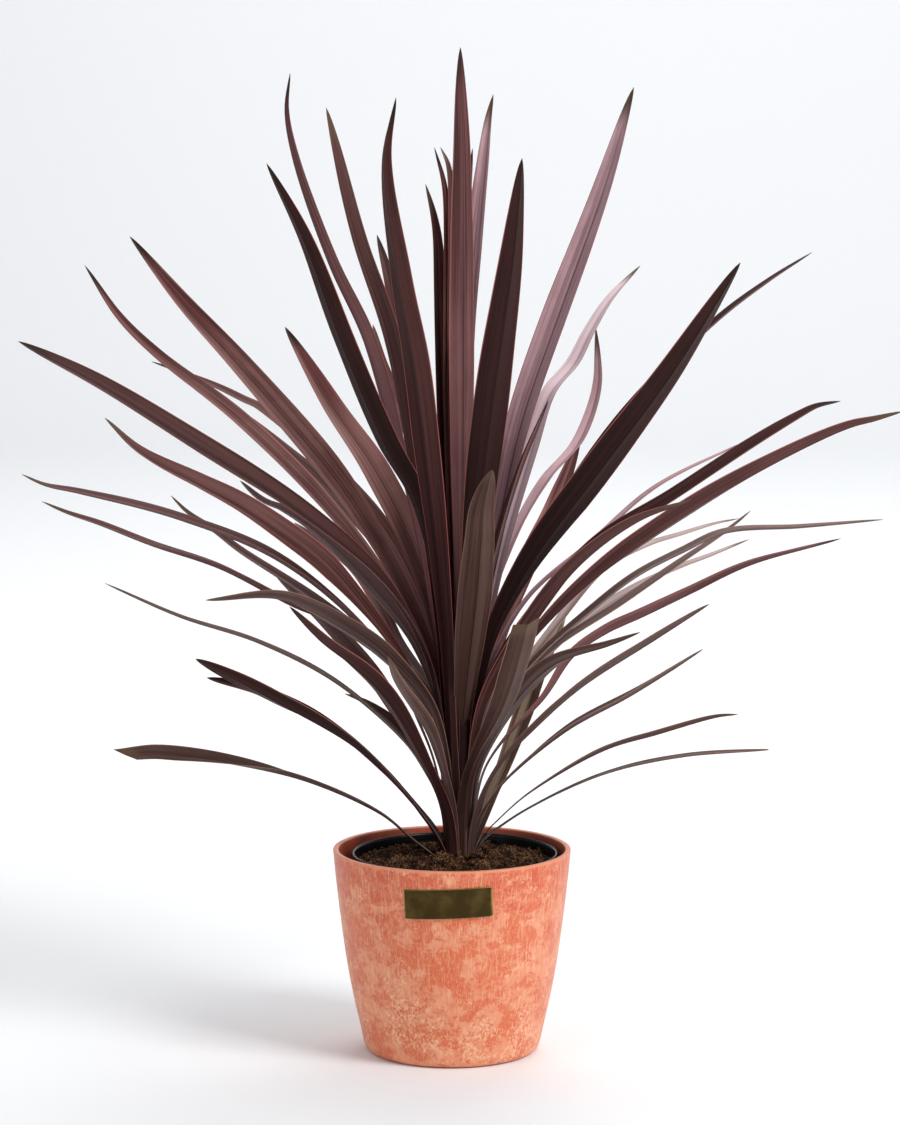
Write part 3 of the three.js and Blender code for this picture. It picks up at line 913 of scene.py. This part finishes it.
    def build(self) -> bmesh.types.BMesh:
        """The blade as a closed thin solid that carries its own coordinates."""
        stations = list(self.stations())
        mesh = bmesh.new()
        bmesh.ops.create_grid(mesh, x_segments=self.columns, y_segments=self.rows, size=0.5)
        sheet = bmesh.ops.extrude_face_region(mesh, geom=mesh.faces[:])
        raised = [item for item in sheet["geom"] if isinstance(item, bmesh.types.BMVert)]
        bmesh.ops.translate(mesh, verts=raised, vec=(0, 0, 1))
        blade_layer = mesh.verts.layers.float_vector.new("blade")
        grain_layer = mesh.verts.layers.float_vector.new("grain")
        for vertex in mesh.verts:
            across = math.copysign(abs(2 * vertex.co.x) ** 1.5, vertex.co.x)
            face = vertex.co.z
            row = round((vertex.co.y + 0.5) * self.rows)
            station = stations[row]
            vertex[blade_layer] = (across, station.share, face)
            vertex[grain_layer] = (
                across * self.leaf.width * MM / 2,
                self.length * row / self.rows,
                self.leaf.number * self.grain_step,
            )
            vertex.co = self.surface_point(station, across, face)
        bmesh.ops.recalc_face_normals(mesh, faces=mesh.faces)
        return mesh


LEAVES: list[Leaf] = [
    Leaf("leaf_left_01", 184, 159, 19, (-10, 70),
         [(36, 165), (61, 186), (120, 214), (183, 229), (230, 235), (257, 234)], Tone.OLIVE,
         foot=[(13, 146), (22, 154)], end=0.9, slant=0.9),
    Leaf("leaf_left_02", 196, 167, 22, (-15, -65),
         [(29, 183), (44, 203), (85, 244), (146, 281), (207, 314)], Tone.NIGHT),
    Leaf("leaf_left_03", 162, 162, 19, (5, 40),
         [(32, 185), (60, 213), (106, 247), (164, 272), (209, 281)], Tone.NIGHT),
    Leaf("leaf_left_04", 170, 173, 14, (-10, -15),
         [(26, 215), (43, 240), (96, 285), (157, 315), (221, 334), (281, 358)], Tone.BROWN),
    Leaf("leaf_left_05", 149, 175, 13, (35, 5),
         [(28, 217), (53, 245), (85, 264), (105, 270)], Tone.OLIVE),
    Leaf("leaf_left_06", 219, 188, 26, (-20, -20),
         [(73, 315), (114, 342), (171, 368), (238, 371)], Tone.BROWN),
    Leaf("leaf_left_07", 178, 180, 18, (-20, 20),
         [(31, 256), (62, 320), (125, 346), (183, 376), (237, 394), (276, 409), (303, 418),
          (321, 426)], Tone.BURGUNDY),
    Leaf("leaf_left_08", 230, 184, 25, (-5, 5),
         [(30, 214), (80, 281), (118, 313), (159, 339), (193, 366)], Tone.DARK),
    Leaf("leaf_left_09", 122, 178, 21, (5, -5),
         [(50, 217), (127, 273), (193, 304), (289, 340)], Tone.DARK),
    Leaf("leaf_left_10", 194, 202, 22, (10, 10),
         [(23, 259), (75, 332), (140, 387), (217, 421), (292, 442), (318, 448), (335, 456)],
         Tone.BURGUNDY),
    Leaf("leaf_left_11", 162, 186, 20, (0, 0),
         [(28, 280), (114, 344), (182, 384), (202, 398), (225, 412), (238, 424)], Tone.BURGUNDY),
    Leaf("leaf_left_12", 250, 192, 14, (0, 0),
         [(30, 216), (63, 258), (136, 310), (154, 329)], Tone.BROWN),
    Leaf("leaf_left_13", 209, 198, 28, (60, 30),
         [(75, 341), (116, 385), (153, 413), (187, 435), (219, 452), (266, 477), (294, 503)],
         Tone.BURGUNDY),
    Leaf("leaf_left_14", 124, 183, 22, (0, 0),
         [(151, 362), (211, 386), (259, 398), (294, 403), (328, 416)], Tone.DARK),
    Leaf("leaf_left_15", 198, 210, 30, (35, 45),
         [(61, 368), (127, 425), (206, 477), (280, 524), (340, 556)], Tone.DARK),
    Leaf("leaf_left_16", 132, 192, 18, (0, 0),
         [(235, 482), (268, 491), (299, 499), (333, 506), (385, 515)], Tone.ROSE),
    Leaf("leaf_left_17", 125, 208, 22, (0, 0),
         [(163, 412), (261, 452), (340, 482)], Tone.BURGUNDY),
    Leaf("leaf_left_18", 112, 196, 16, (0, 0),
         [(62, 272), (138, 303), (175, 326), (225, 347), (309, 361), (378, 372)], Tone.BURGUNDY),
    Leaf("leaf_left_19", 170, 219, 24, (25, 15),
         [(61, 368), (109, 427), (172, 487), (237, 536), (268, 566), (294, 605)], Tone.ROSE),
    Leaf("leaf_left_20", 150, 226, 27, (35, 20),
         [(57, 367), (108, 436), (201, 526), (257, 576), (304, 624)], Tone.ROSE),
    Leaf("leaf_left_21", 128, 212, 26, (30, 10),
         [(57, 386), (105, 441), (162, 488), (229, 550)], Tone.ROSE),
    Leaf("leaf_left_22", 113, 241, 20, (0, 0),
         [(39, 409), (100, 474), (157, 521), (178, 553)], Tone.BURGUNDY),
    Leaf("leaf_left_23", 207, 242, 26, (-25, -25),
         [(36, 430), (62, 474), (99, 554), (129, 628), (160, 685)], Tone.NIGHT),
    Leaf("leaf_left_24", 105, 220, 20, (0, 0),
         [(59, 422), (185, 540), (213, 579), (262, 622)], Tone.DARK),
    Leaf("leaf_left_25", 138, 233, 26, (-10, 5),
         [(46, 441), (72, 548), (106, 623), (140, 726)], Tone.BURGUNDY),
    Leaf("leaf_left_26", 165, 251, 27, (-45, -25),
         [(51, 473), (74, 550), (102, 609), (130, 686), (137, 724), (134, 752)], Tone.STRIPED),
    Leaf("leaf_left_27", 246, 232, 25, (-15, 35),
         [(55, 449), (82, 540), (108, 601), (133, 689), (115, 733)], Tone.DARK),
    Leaf("leaf_right_01", 4, 159, 16, (15, -5),
         [(31, 174), (53, 188), (112, 215), (172, 228), (240, 232)], Tone.OLIVE),
    Leaf("leaf_right_02", -9, 166, 17, (5, 20),
         [(28, 179), (53, 202), (112, 239), (151, 252), (197, 266), (214, 268)], Tone.OLIVE),
    Leaf("leaf_right_03", -20, 175, 18, (-10, 0),
         [(25, 197), (38, 214), (86, 256), (137, 286), (194, 323)], Tone.BROWN),
    Leaf("leaf_right_04", 58, 172, 12, (0, 0),
         [(60, 265), (152, 318), (217, 350), (294, 364), (359, 368), (420, 371), (461, 371)],
         Tone.PALE),
    Leaf("leaf_right_05", 46, 167, 13, (0, 0),
         [(85, 289), (144, 321), (204, 342), (260, 354), (298, 360), (348, 369)], Tone.PALE),
    Leaf("leaf_right_06", 17, 171, 16, (0, 0),
         [(65, 306), (102, 336), (143, 365), (184, 384), (217, 397), (280, 399), (351, 402)],
         Tone.BROWN),
    Leaf("leaf_right_07", -40, 182, 21, (30, 5),
         [(30, 244), (57, 282), (93, 312), (145, 331), (173, 342)], Tone.BROWN),
    Leaf("leaf_right_08", -38, 170, 18, (-10, 15),
         [(70, 259), (113, 295), (182, 338), (230, 367)], Tone.BROWN),
    Leaf("leaf_right_09", -4, 195, 20, (35, 0),
         [(36, 246), (64, 276), (87, 310), (112, 328), (139, 341), (175, 359), (222, 382),
          (290, 401)], Tone.STRIPED),
    Leaf("leaf_right_10", 34, 181, 14, (0, 0),
         [(80, 302), (156, 338), (219, 369), (255, 386), (273, 396), (284, 403)], Tone.BROWN),
    Leaf("leaf_right_11", 66, 160, 20, (0, 0),
         [(81, 203), (133, 249), (155, 271), (216, 315)], Tone.TAN),
    Leaf("leaf_right_12", -6, 203, 28, (35, 30),
         [(65, 334), (111, 378), (187, 431), (258, 471), (296, 488), (315, 493), (335, 499)],
         Tone.BURGUNDY),
    Leaf("leaf_right_13", -41, 190, 28, (0, 0),
         [(31, 285), (70, 339), (116, 389), (172, 426), (222, 444)], Tone.BURGUNDY),
    Leaf("leaf_right_14", 33, 192, 9, (0, 0),
         [(63, 348), (124, 388), (185, 428), (277, 461)], Tone.MAUVE),
    Leaf("leaf_right_15", 10, 210, 27, (-10, -20),
         [(65, 350), (109, 393), (168, 428), (231, 468), (267, 489), (281, 496), (300, 500)],
         Tone.DARK),
    Leaf("leaf_right_16", -76, 203, 24, (0, 0),
         [(49, 237), (131, 292), (175, 335), (197, 360)], Tone.OLIVE, end=0.72, slant=-0.2),
    Leaf("leaf_right_17", 26, 220, 16, (0, 0),
         [(59, 379), (107, 448), (155, 501), (226, 561), (273, 591), (312, 612)], Tone.NIGHT),
    Leaf("leaf_right_18", 69, 204, 22, (0, 0),
         [(164, 368), (211, 397), (233, 413), (255, 430), (274, 447), (284, 458)], Tone.ROSE),
    Leaf("leaf_right_19", -24, 227, 32, (50, 30),
         [(56, 380), (110, 451), (172, 532), (225, 613)], Tone.NIGHT),
    Leaf("leaf_right_20", -78, 215, 31, (0, 0),
         [(26, 296), (58, 366), (72, 406), (78, 427), (89, 441), (112, 462)], Tone.OLIVE,
         foot=[(3, 180), (5, 222), (12, 262)]),
    Leaf("leaf_right_21", 66, 216, 18, (30, 0),
         [(100, 384), (173, 428), (243, 454), (277, 485), (285, 503), (284, 520), (279, 545)],
         Tone.MAUVE),
    Leaf("leaf_right_22", 53, 228, 18, (0, 0),
         [(94, 462), (117, 502), (151, 525), (173, 549), (200, 573), (244, 599)], Tone.BLUSH),
    Leaf("leaf_right_23", 17, 248, 20, (5, 15),
         [(30, 393), (48, 450), (71, 503)], Tone.STRIPED),
    Leaf("leaf_right_24", 45, 238, 31, (-5, -5),
         [(44, 415), (68, 488), (110, 570), (159, 661), (195, 742)], Tone.MAUVE),
    Leaf("leaf_right_25", -64, 241, 32, (20, -10),
         [(31, 416), (55, 509), (78, 584), (89, 622), (103, 689)], Tone.NIGHT),
    Leaf("leaf_back_01", 90, 163, 24, (0, 0),
         [(50, 208), (140, 266), (250, 300), (350, 305)], Tone.BURGUNDY),
    Leaf("leaf_back_02", 91, 187, 26, (0, 0),
         [(40, 262), (120, 360), (220, 445), (330, 505)], Tone.DARK),
]

HEART_BASE = 256.3
HEART: list[Leaf] = [
    Leaf(
        "heart_leaves", azimuth, HEART_BASE, width, (0, 0), rib, tone, f"heart_blade_{i}",
        [(0.3, HEART_BASE)],
    )
    for i, (azimuth, width, rib, tone) in enumerate([
        (290, 24, [(4, 340), (6, 521), (6, 627), (6, 687), (3, 735), (1, 771)], Tone.STRIPED),
        (65, 20, [(5, 430), (9, 542), (27, 626), (43, 686), (52, 717), (61, 736)], Tone.MAUVE),
        (135, 20, [(14, 430), (21, 550), (25, 626), (29, 645), (37, 668)], Tone.BURGUNDY),
        (120, 12, [(14, 430), (18, 550), (19, 630), (24, 667), (39, 696)], Tone.ROSE),
        (108, 12, [(10, 430), (17, 550), (19, 645), (27, 680), (48, 696)], Tone.BURGUNDY),
        (80, 12, [(10, 430), (14, 550), (36, 656), (57, 695)], Tone.ROSE),
    ], 1)
]


@dataclass
class Foliage:
    """The rosette: the stem, every leaf and the young leaves round the growing tip."""

    stem: Stem = field(default_factory=Stem)

    def build(self) -> None:
        """Builds and dresses all of it."""
        materials = {tone: tone.value.material("leaf_" + tone.name.lower()) for tone in Tone}
        # The stem core wears the darkest leaf finish as painted shade, so that it reads as the shadowed gap
        # among the leaf bases.
        publish("stem_core", self.stem.build(), materials[Tone.NIGHT], "stem", "stem")
        for number, leaf in enumerate([*LEAVES, *HEART]):
            leaf.number = number
            young = leaf.node == "heart_leaves"
            name = leaf.piece or leaf.node.replace("leaf_", "blade_")
            mesh = Blade(leaf, self.stem).build()
            publish(name, mesh, materials[leaf.tone], "young_leaf" if young else "leaf", leaf.node)


@dataclass
class Planter:
    """The tapered outer planter, in metres."""

    height: float = 158 * MM
    rim: float = 92 * MM
    foot: float = 61 * MM
    wall: float = 4.3 * MM
    floor: float = 6 * MM
    inner_foot: float = 66.2 * MM
    lip: float = 1 * MM
    steps: int = 144
    side: Profile = field(default_factory=lambda: [
        (65.5 * MM, 1.6 * MM), (68.2 * MM, 6 * MM), (71.6 * MM, 21 * MM), (76.9 * MM, 45 * MM),
        (81.8 * MM, 72 * MM), (86.4 * MM, 106 * MM), (89.8 * MM, 135 * MM), (91.7 * MM, 155 * MM),
    ])

    def wall_radius(self, height: float) -> float:
        """Outer radius of the wall at a height."""
        line = flowing(self.side, 8)
        for (r, z), (s, w) in zip(line, line[1:]):
            if z <= height <= w:
                return r + (s - r) * (height - z) / (w - z)
        return self.rim

    def build(self) -> bmesh.types.BMesh:
        """The planter, turned, with its lip rounded."""
        outside = flowing([(self.foot, 0.0), *self.side], 6)
        inside = [(r - self.wall, z) for r, z in flowing(self.side[2:], 6)]
        profile = [
            (0.0, 0.0), *outside, (self.rim, self.height),
            (self.rim - self.wall, self.height), *reversed(inside),
            (self.inner_foot, self.floor), (0.0, self.floor),
        ]
        mesh = turned(profile, self.steps)
        near = 0.01 * MM
        lips = [
            edge for edge in mesh.edges
            if all(v.co.z > self.height - near for v in edge.verts)
            and abs(edge.verts[0].co.xy.length - edge.verts[1].co.xy.length) < near
        ]
        rounded(mesh, lips, self.lip, 5, clamp=True)
        # The wall vector marks the inner wall, which the terracotta paints darker as painted shade.
        layer = mesh.verts.layers.float_vector.new("wall")
        for vertex in mesh.verts:
            inner = 4 * MM < vertex.co.z < self.height - 0.7 * self.lip
            inner = inner and vertex.co.xy.length < self.wall_radius(vertex.co.z) - 0.7 * self.wall
            vertex[layer] = (1.0 if inner else 0.0, 0, 0)
        return mesh

    def publish(self) -> None:
        """Builds and dresses the planter."""
        publish("planter_shell", self.build(), Terracotta().material(), "planter", "planter")


@dataclass
class GrowerPot:
    """The thin black pot that stands inside the planter, in metres."""

    x: float = 2.3 * MM
    foot: float = 6.3 * MM
    rim_top: float = 155 * MM
    rim: float = 79.8 * MM
    lip_height: float = 9 * MM
    top: float = 77.8 * MM
    bottom: float = 58 * MM
    wall: float = 1.5 * MM
    floor: float = 2 * MM
    round: float = 2 * MM
    bead_half: float = 1.3 * MM
    bead_height: float = 2.4 * MM
    bead_steps: int = 8
    steps: int = 144
    holes: int = 8
    hole_radius: float = 4.5 * MM
    hole_ring: float = 44 * MM

    def wall_radius(self, height: float) -> float:
        """Outer radius below the lip at a height."""
        share = (height - self.foot) / (self.rim_top - self.lip_height - self.foot)
        return self.bottom + (self.top - self.bottom) * share

    def build(self) -> bmesh.types.BMesh:
        """The pot, turned, with a rounded bead along its rim."""
        lip = self.rim_top - self.lip_height
        floor = self.foot + self.floor
        bead = []
        middle = self.rim - self.bead_half
        for i in range(self.bead_steps + 1):
            angle = math.pi * i / self.bead_steps
            bead.append((
                middle + self.bead_half * math.cos(angle),
                self.rim_top - self.bead_height + self.bead_height * math.sin(angle),
            ))
        profile = [
            (0.0, self.foot), (self.bottom - self.round, self.foot),
            (self.wall_radius(self.foot + self.round), self.foot + self.round),
            (self.top, lip), (self.rim - 0.3 * MM, lip + 0.3 * MM), (self.rim, lip + 1.2 * MM),
            *bead, (self.top - self.wall, lip), (self.wall_radius(floor) - self.wall, floor),
            (0.0, floor),
        ]
        return turned(profile, self.steps, self.x)

    def publish(self) -> None:
        """Builds the pot, drills its drain holes and dresses it."""
        plastic = BlackPlastic().material()
        piece = publish("grower_pot_shell", self.build(), plastic, "grower_pot", "grower_pot")
        drill = bmesh.new()
        for i in range(self.holes):
            angle = 2 * math.pi * (i + 0.5) / self.holes
            at = Matrix.Translation((
                self.x + self.hole_ring * math.cos(angle), self.hole_ring * math.sin(angle), self.foot,
            ))
            bmesh.ops.create_cone(
                drill, cap_ends=True, segments=20, radius1=self.hole_radius, radius2=self.hole_radius,
                depth=4 * self.floor, matrix=at,
            )
        cutter = placed("drill", baked("drill", drill, soft=False))
        cut = piece.modifiers.new("holes", "BOOLEAN")
        cut.object = cutter
        cut.operation = "DIFFERENCE"
        cut.solver = "EXACT"
        graph = bpy.context.evaluated_depsgraph_get()
        bored = bpy.data.meshes.new_from_object(piece.evaluated_get(graph))
        piece.modifiers.clear()
        piece.data = bored
        bpy.data.objects.remove(cutter)


@dataclass
class Soil:
    """The mound of loose peat, with crumbs and fibres on it, in metres."""

    pot: GrowerPot
    stem: Stem
    edge_level: float = 147 * MM
    mound: float = 9 * MM
    relief: float = 1.6 * MM
    steps: int = 200
    rings: int = 62
    gap: float = 0.3 * MM
    clod_height: float = 3.2 * MM
    pit_depth: float = 2.4 * MM
    crumbs: int = 1500
    crumb_spread: float = 73 * MM
    crumb_seed: int = 11
    fibres: int = 260
    fibre_spread: float = 70 * MM
    fibre_seed: int = 29
    fibre_steps: int = 6

    def level(self, x: float, y: float) -> float:
        """Height of the soil at a plan point measured from the pot's axis."""
        share = min(1.0, math.hypot(x, y) / self.pot.top)
        mound = self.mound * (1 - share) ** 1.2
        lumps = math.sin(310 * x + 1.2) * math.cos(270 * y) + math.sin(170 * x - 230 * y + 0.6)
        return self.edge_level + mound + 0.5 * self.relief * lumps * (1 - share ** 6)

    def rough_level(self, x: float, y: float) -> float:
        """The same height with clods and crumbs added."""
        clods = noise.fractal(Vector((x * 130, y * 130, 3.3)), 0.7, 2.1, 5)
        pits = noise.turbulence(Vector((x * 240, y * 240, 8.1)), 4, True)
        share = min(1.0, math.hypot(x, y) / self.pot.top)
        rough = self.clod_height * clods + self.pit_depth * (pits - 0.5)
        return self.level(x, y) + rough * (1 - share ** 8)

    def build(self) -> bmesh.types.BMesh:
        """The body of soil with its rough top."""
        floor = self.pot.foot + self.pot.floor + self.gap
        edge = self.pot.wall_radius(self.edge_level) - self.pot.wall - self.gap
        foot = self.pot.wall_radius(floor) - self.pot.wall - self.gap
        profile = [(0.0, floor), (foot, floor)]
        profile += [(edge * i / self.rings, self.edge_level) for i in range(self.rings, -1, -1)]
        mesh = turned(profile, self.steps, self.pot.x)
        for vertex in mesh.verts:
            if vertex.co.z > self.edge_level - 1 * MM:
                vertex.co.z = self.rough_level(vertex.co.x - self.pot.x, vertex.co.y)
        return mesh

    def spot(self, dice: random.Random, spread: float) -> tuple[float, float]:
        """A random plan point on the soil, clear of the stem."""
        while True:
            angle = dice.uniform(0, 2 * math.pi)
            radius = spread * math.sqrt(dice.random())
            x = radius * math.cos(angle)
            y = radius * math.sin(angle)
            if math.hypot(x - self.stem.x + self.pot.x, y) > self.stem.soil_radius:
                return x, y

    def build_crumbs(self) -> bmesh.types.BMesh:
        """Small clods that lie half sunk in the soil."""
        dice = random.Random(self.crumb_seed)
        mesh = bmesh.new()
        for _ in range(self.crumbs):
            x, y = self.spot(dice, self.crumb_spread)
            size = dice.uniform(0.5, 1.4) * MM * (2.1 if dice.random() < 0.16 else 1.0)
            at = Matrix.Translation((x + self.pot.x, y, self.rough_level(x, y) + 0.3 * size))
            turn = Euler([dice.uniform(0, 6.28) for _ in range(3)]).to_matrix().to_4x4()
            squash = Matrix.Diagonal((
                dice.uniform(0.8, 1.6), dice.uniform(0.7, 1.1), dice.uniform(0.5, 0.9), 1,
            ))
            made = bmesh.ops.create_icosphere(
                mesh, subdivisions=1, radius=size, matrix=at @ turn @ squash
            )
            for vertex in made["verts"]:
                vertex.co += noise.noise_vector(vertex.co * 900) * size * 0.5
        return mesh

    def build_fibres(self) -> bmesh.types.BMesh:
        """Thin bent strands that lie on the soil."""
        dice = random.Random(self.fibre_seed)
        mesh = bmesh.new()
        for _ in range(self.fibres):
            x, y = self.spot(dice, self.fibre_spread)
            heading = dice.uniform(0, 2 * math.pi)
            length = dice.uniform(3, 11) * MM
            radius = dice.uniform(0.16, 0.34) * MM
            steps = self.fibre_steps
            ring = None
            lift = dice.uniform(0.3, 1.2) * MM
            bend = dice.uniform(-0.5, 0.5)
            for k in range(steps + 1):
                t = k / steps
                height = self.rough_level(x, y) + radius + lift * math.sin(math.pi * t)
                turn = Matrix.Rotation(heading, 4, "Z") @ Matrix.Rotation(math.pi / 2, 4, "Y")
                at = Matrix.Translation((x + self.pot.x, y, height)) @ turn
                thick = radius * (1 - 0.6 * t)
                made = bmesh.ops.create_circle(
                    mesh, cap_ends=k in (0, steps), segments=4, radius=thick, matrix=at
                )
                edges = list({e for v in made["verts"] for e in v.link_edges})
                if ring:
                    bmesh.ops.bridge_loops(mesh, edges=ring + edges)
                ring = edges
                heading += bend * dice.uniform(0.4, 1.6)
                x += length / steps * math.cos(heading)
                y += length / steps * math.sin(heading)
        bmesh.ops.recalc_face_normals(mesh, faces=mesh.faces)
        return mesh

    def publish(self) -> None:
        """Builds and dresses the soil."""
        peat = Peat()
        publish("soil_mound", self.build(), peat.material("peat"), "soil", "soil")
        publish("soil_crumbs", self.build_crumbs(), peat.material("peat_crumbs", 0.15), "soil")
        publish("soil_fibres", self.build_fibres(), peat.material("peat_fibres", 0.6), "soil")


@dataclass
class Plate:
    """The bare brass plate on the planter's front, in metres."""

    planter: Planter
    width: float = 66.6 * MM
    height: float = 23 * MM
    tilt: float = 2.3
    middle: tuple[float, float] = (-2.7 * MM, 133 * MM)
    corner: float = 1.8 * MM
    thickness: float = 1.3 * MM
    seat: float = 0.3 * MM
    bevel: float = 0.45 * MM
    slices: int = 34

    def build(self) -> bmesh.types.BMesh:
        """A flat plate with rounded corners and a bevelled front, bent to the wall."""
        mesh = bmesh.new()
        size = Matrix.Diagonal((self.width, self.thickness, self.height, 1))
        bmesh.ops.create_cube(mesh, size=1, matrix=size)
        corners = [
            edge for edge in mesh.edges
            if (edge.verts[0].co - edge.verts[1].co).xz.length < TOUCH
        ]
        rounded(mesh, corners, self.corner, 6)
        front = [f for f in mesh.faces if f.normal.y < -0.9]
        rim = list({e for f in front for e in f.edges})
        rounded(mesh, rim, self.bevel, 3)
        for i in range(1, self.slices):
            x = self.width * (i / self.slices - 0.5)
            bmesh.ops.bisect_plane(
                mesh, geom=mesh.verts[:] + mesh.edges[:] + mesh.faces[:], plane_co=(x, 0, 0),
                plane_no=(1, 0, 0),
            )
        layer = mesh.verts.layers.float_vector.new("rim")
        turn = math.radians(self.tilt)
        for vertex in mesh.verts:
            inner = (
                abs(vertex.co.x) < self.width / 2 - self.bevel
                and abs(vertex.co.z) < self.height / 2 - self.bevel
            )
            vertex[layer] = (0.0 if inner else 1.0, 0, 0)
            x = vertex.co.x * math.cos(turn) - vertex.co.z * math.sin(turn) + self.middle[0]
            z = vertex.co.x * math.sin(turn) + vertex.co.z * math.cos(turn) + self.middle[1]
            depth = self.seat + self.thickness / 2 - vertex.co.y
            radius = self.planter.wall_radius(z) + depth
            vertex.co = (x, -math.sqrt(radius * radius - x * x), z)
        bmesh.ops.recalc_face_normals(mesh, faces=mesh.faces)
        return mesh

    def publish(self) -> None:
        """Builds and dresses the plate."""
        publish("brass_plate", self.build(), AgedBrass().material(), "plate", "plate")


@dataclass
class Studio:
    """Camera, soft lights and a plain pale stage, in metres and degrees.

    The stage runs away from nearest, is length long and breadth wide, and bends up at turn_at.
    """

    eye: tuple[float, float, float] = (-1.5 * MM, -2.8, 0.7225)
    tilt: float = -6.97
    focal_pixels: float = 3683.0
    image_height: float = 1125.0
    sensor: float = 36.0
    nearest: float = -9.0
    length: float = 21.0
    breadth: float = 16.0
    turn_at: float = 5.2
    bend: float = 1.4
    stage_rows: int = 140

    def add_camera(self) -> None:
        """Adds the camera at the photograph's place."""
        data = bpy.data.cameras.new("camera")
        data.sensor_width = self.sensor
        data.lens = self.focal_pixels * self.sensor / self.image_height
        camera = placed("camera", data)
        camera.location = self.eye
        camera.rotation_euler = (math.radians(90 + self.tilt), 0, 0)
        bpy.context.scene.camera = camera

    def add_light(
        self,
        name: str,
        at: tuple[float, float, float],
        size: float,
        power: float,
        facing: tuple[float, float, float] = (0, 0, 0.35),
    ) -> None:
        """Adds a soft square light.

        Args:
            name: Name of the light.
            at: Where it hangs.
            size: Length of its side.
            power: Its power in watts.
            facing: The point that it faces.
        """
        data = bpy.data.lights.new(name, "AREA")
        data.size = size
        data.energy = power
        light = placed(name, data)
        light.location = at
        aim = Vector(facing) - Vector(at)
        light.rotation_euler = aim.to_track_quat("-Z", "Y").to_euler()

    def add_stage(self) -> None:
        """Adds a pale floor that runs up into a backdrop."""
        mesh = bmesh.new()
        bmesh.ops.create_grid(mesh, x_segments=1, y_segments=self.stage_rows, size=0.5)
        quarter = self.bend * math.pi / 2
        for vertex in mesh.verts:
            run = (vertex.co.y + 0.5) * self.length + self.nearest
            x = vertex.co.x * self.breadth
            past = run - self.turn_at
            angle = min(max(past, 0.0), quarter) / self.bend
            rise = max(0.0, past - quarter)
            y = min(run, self.turn_at) + self.bend * math.sin(angle)
            vertex.co = (x, y, self.bend * (1 - math.cos(angle)) + rise)
        floor = placed("floor", baked("floor", mesh))
        paper = Surface("studio_paper").finish({"Base Color": paint("f4f5f6"), "Roughness": 0.8})
        floor.data.materials.append(paper)

    def build(self) -> None:
        """Sets up the whole studio."""
        self.add_camera()
        self.add_stage()
        self.add_light("key", (2.3, -1.7, 2.3), 1.3, 88)
        self.add_light("fill", (-2.2, -2.0, 1.3), 1.8, 11)
        self.add_light("rim", (0.4, 1.3, 2.4), 1.4, 26)
        self.add_light("backdrop", (0.8, 2.6, 3.4), 2.6, 84, (0, 6.6, 0.9))
        world = bpy.data.worlds.new("studio")
        world.use_nodes = True
        ground = world.node_tree.nodes["Background"]
        ground.inputs["Color"].default_value = paint("f2f4f7")
        ground.inputs["Strength"].default_value = 0.55
        bpy.context.scene.world = world
        bpy.context.scene.view_settings.view_transform = "Standard"


def main() -> None:
    """Builds the studio and the potted plant, from the outside in."""
    logging.basicConfig(level=logging.INFO, format="%(message)s")
    Studio().build()
    planter = Planter()
    planter.publish()
    pot = GrowerPot()
    pot.publish()
    stem = Stem()
    Soil(pot, stem).publish()
    Plate(planter).publish()
    Foliage(stem).build()


if __name__ == "__main__":
    main()
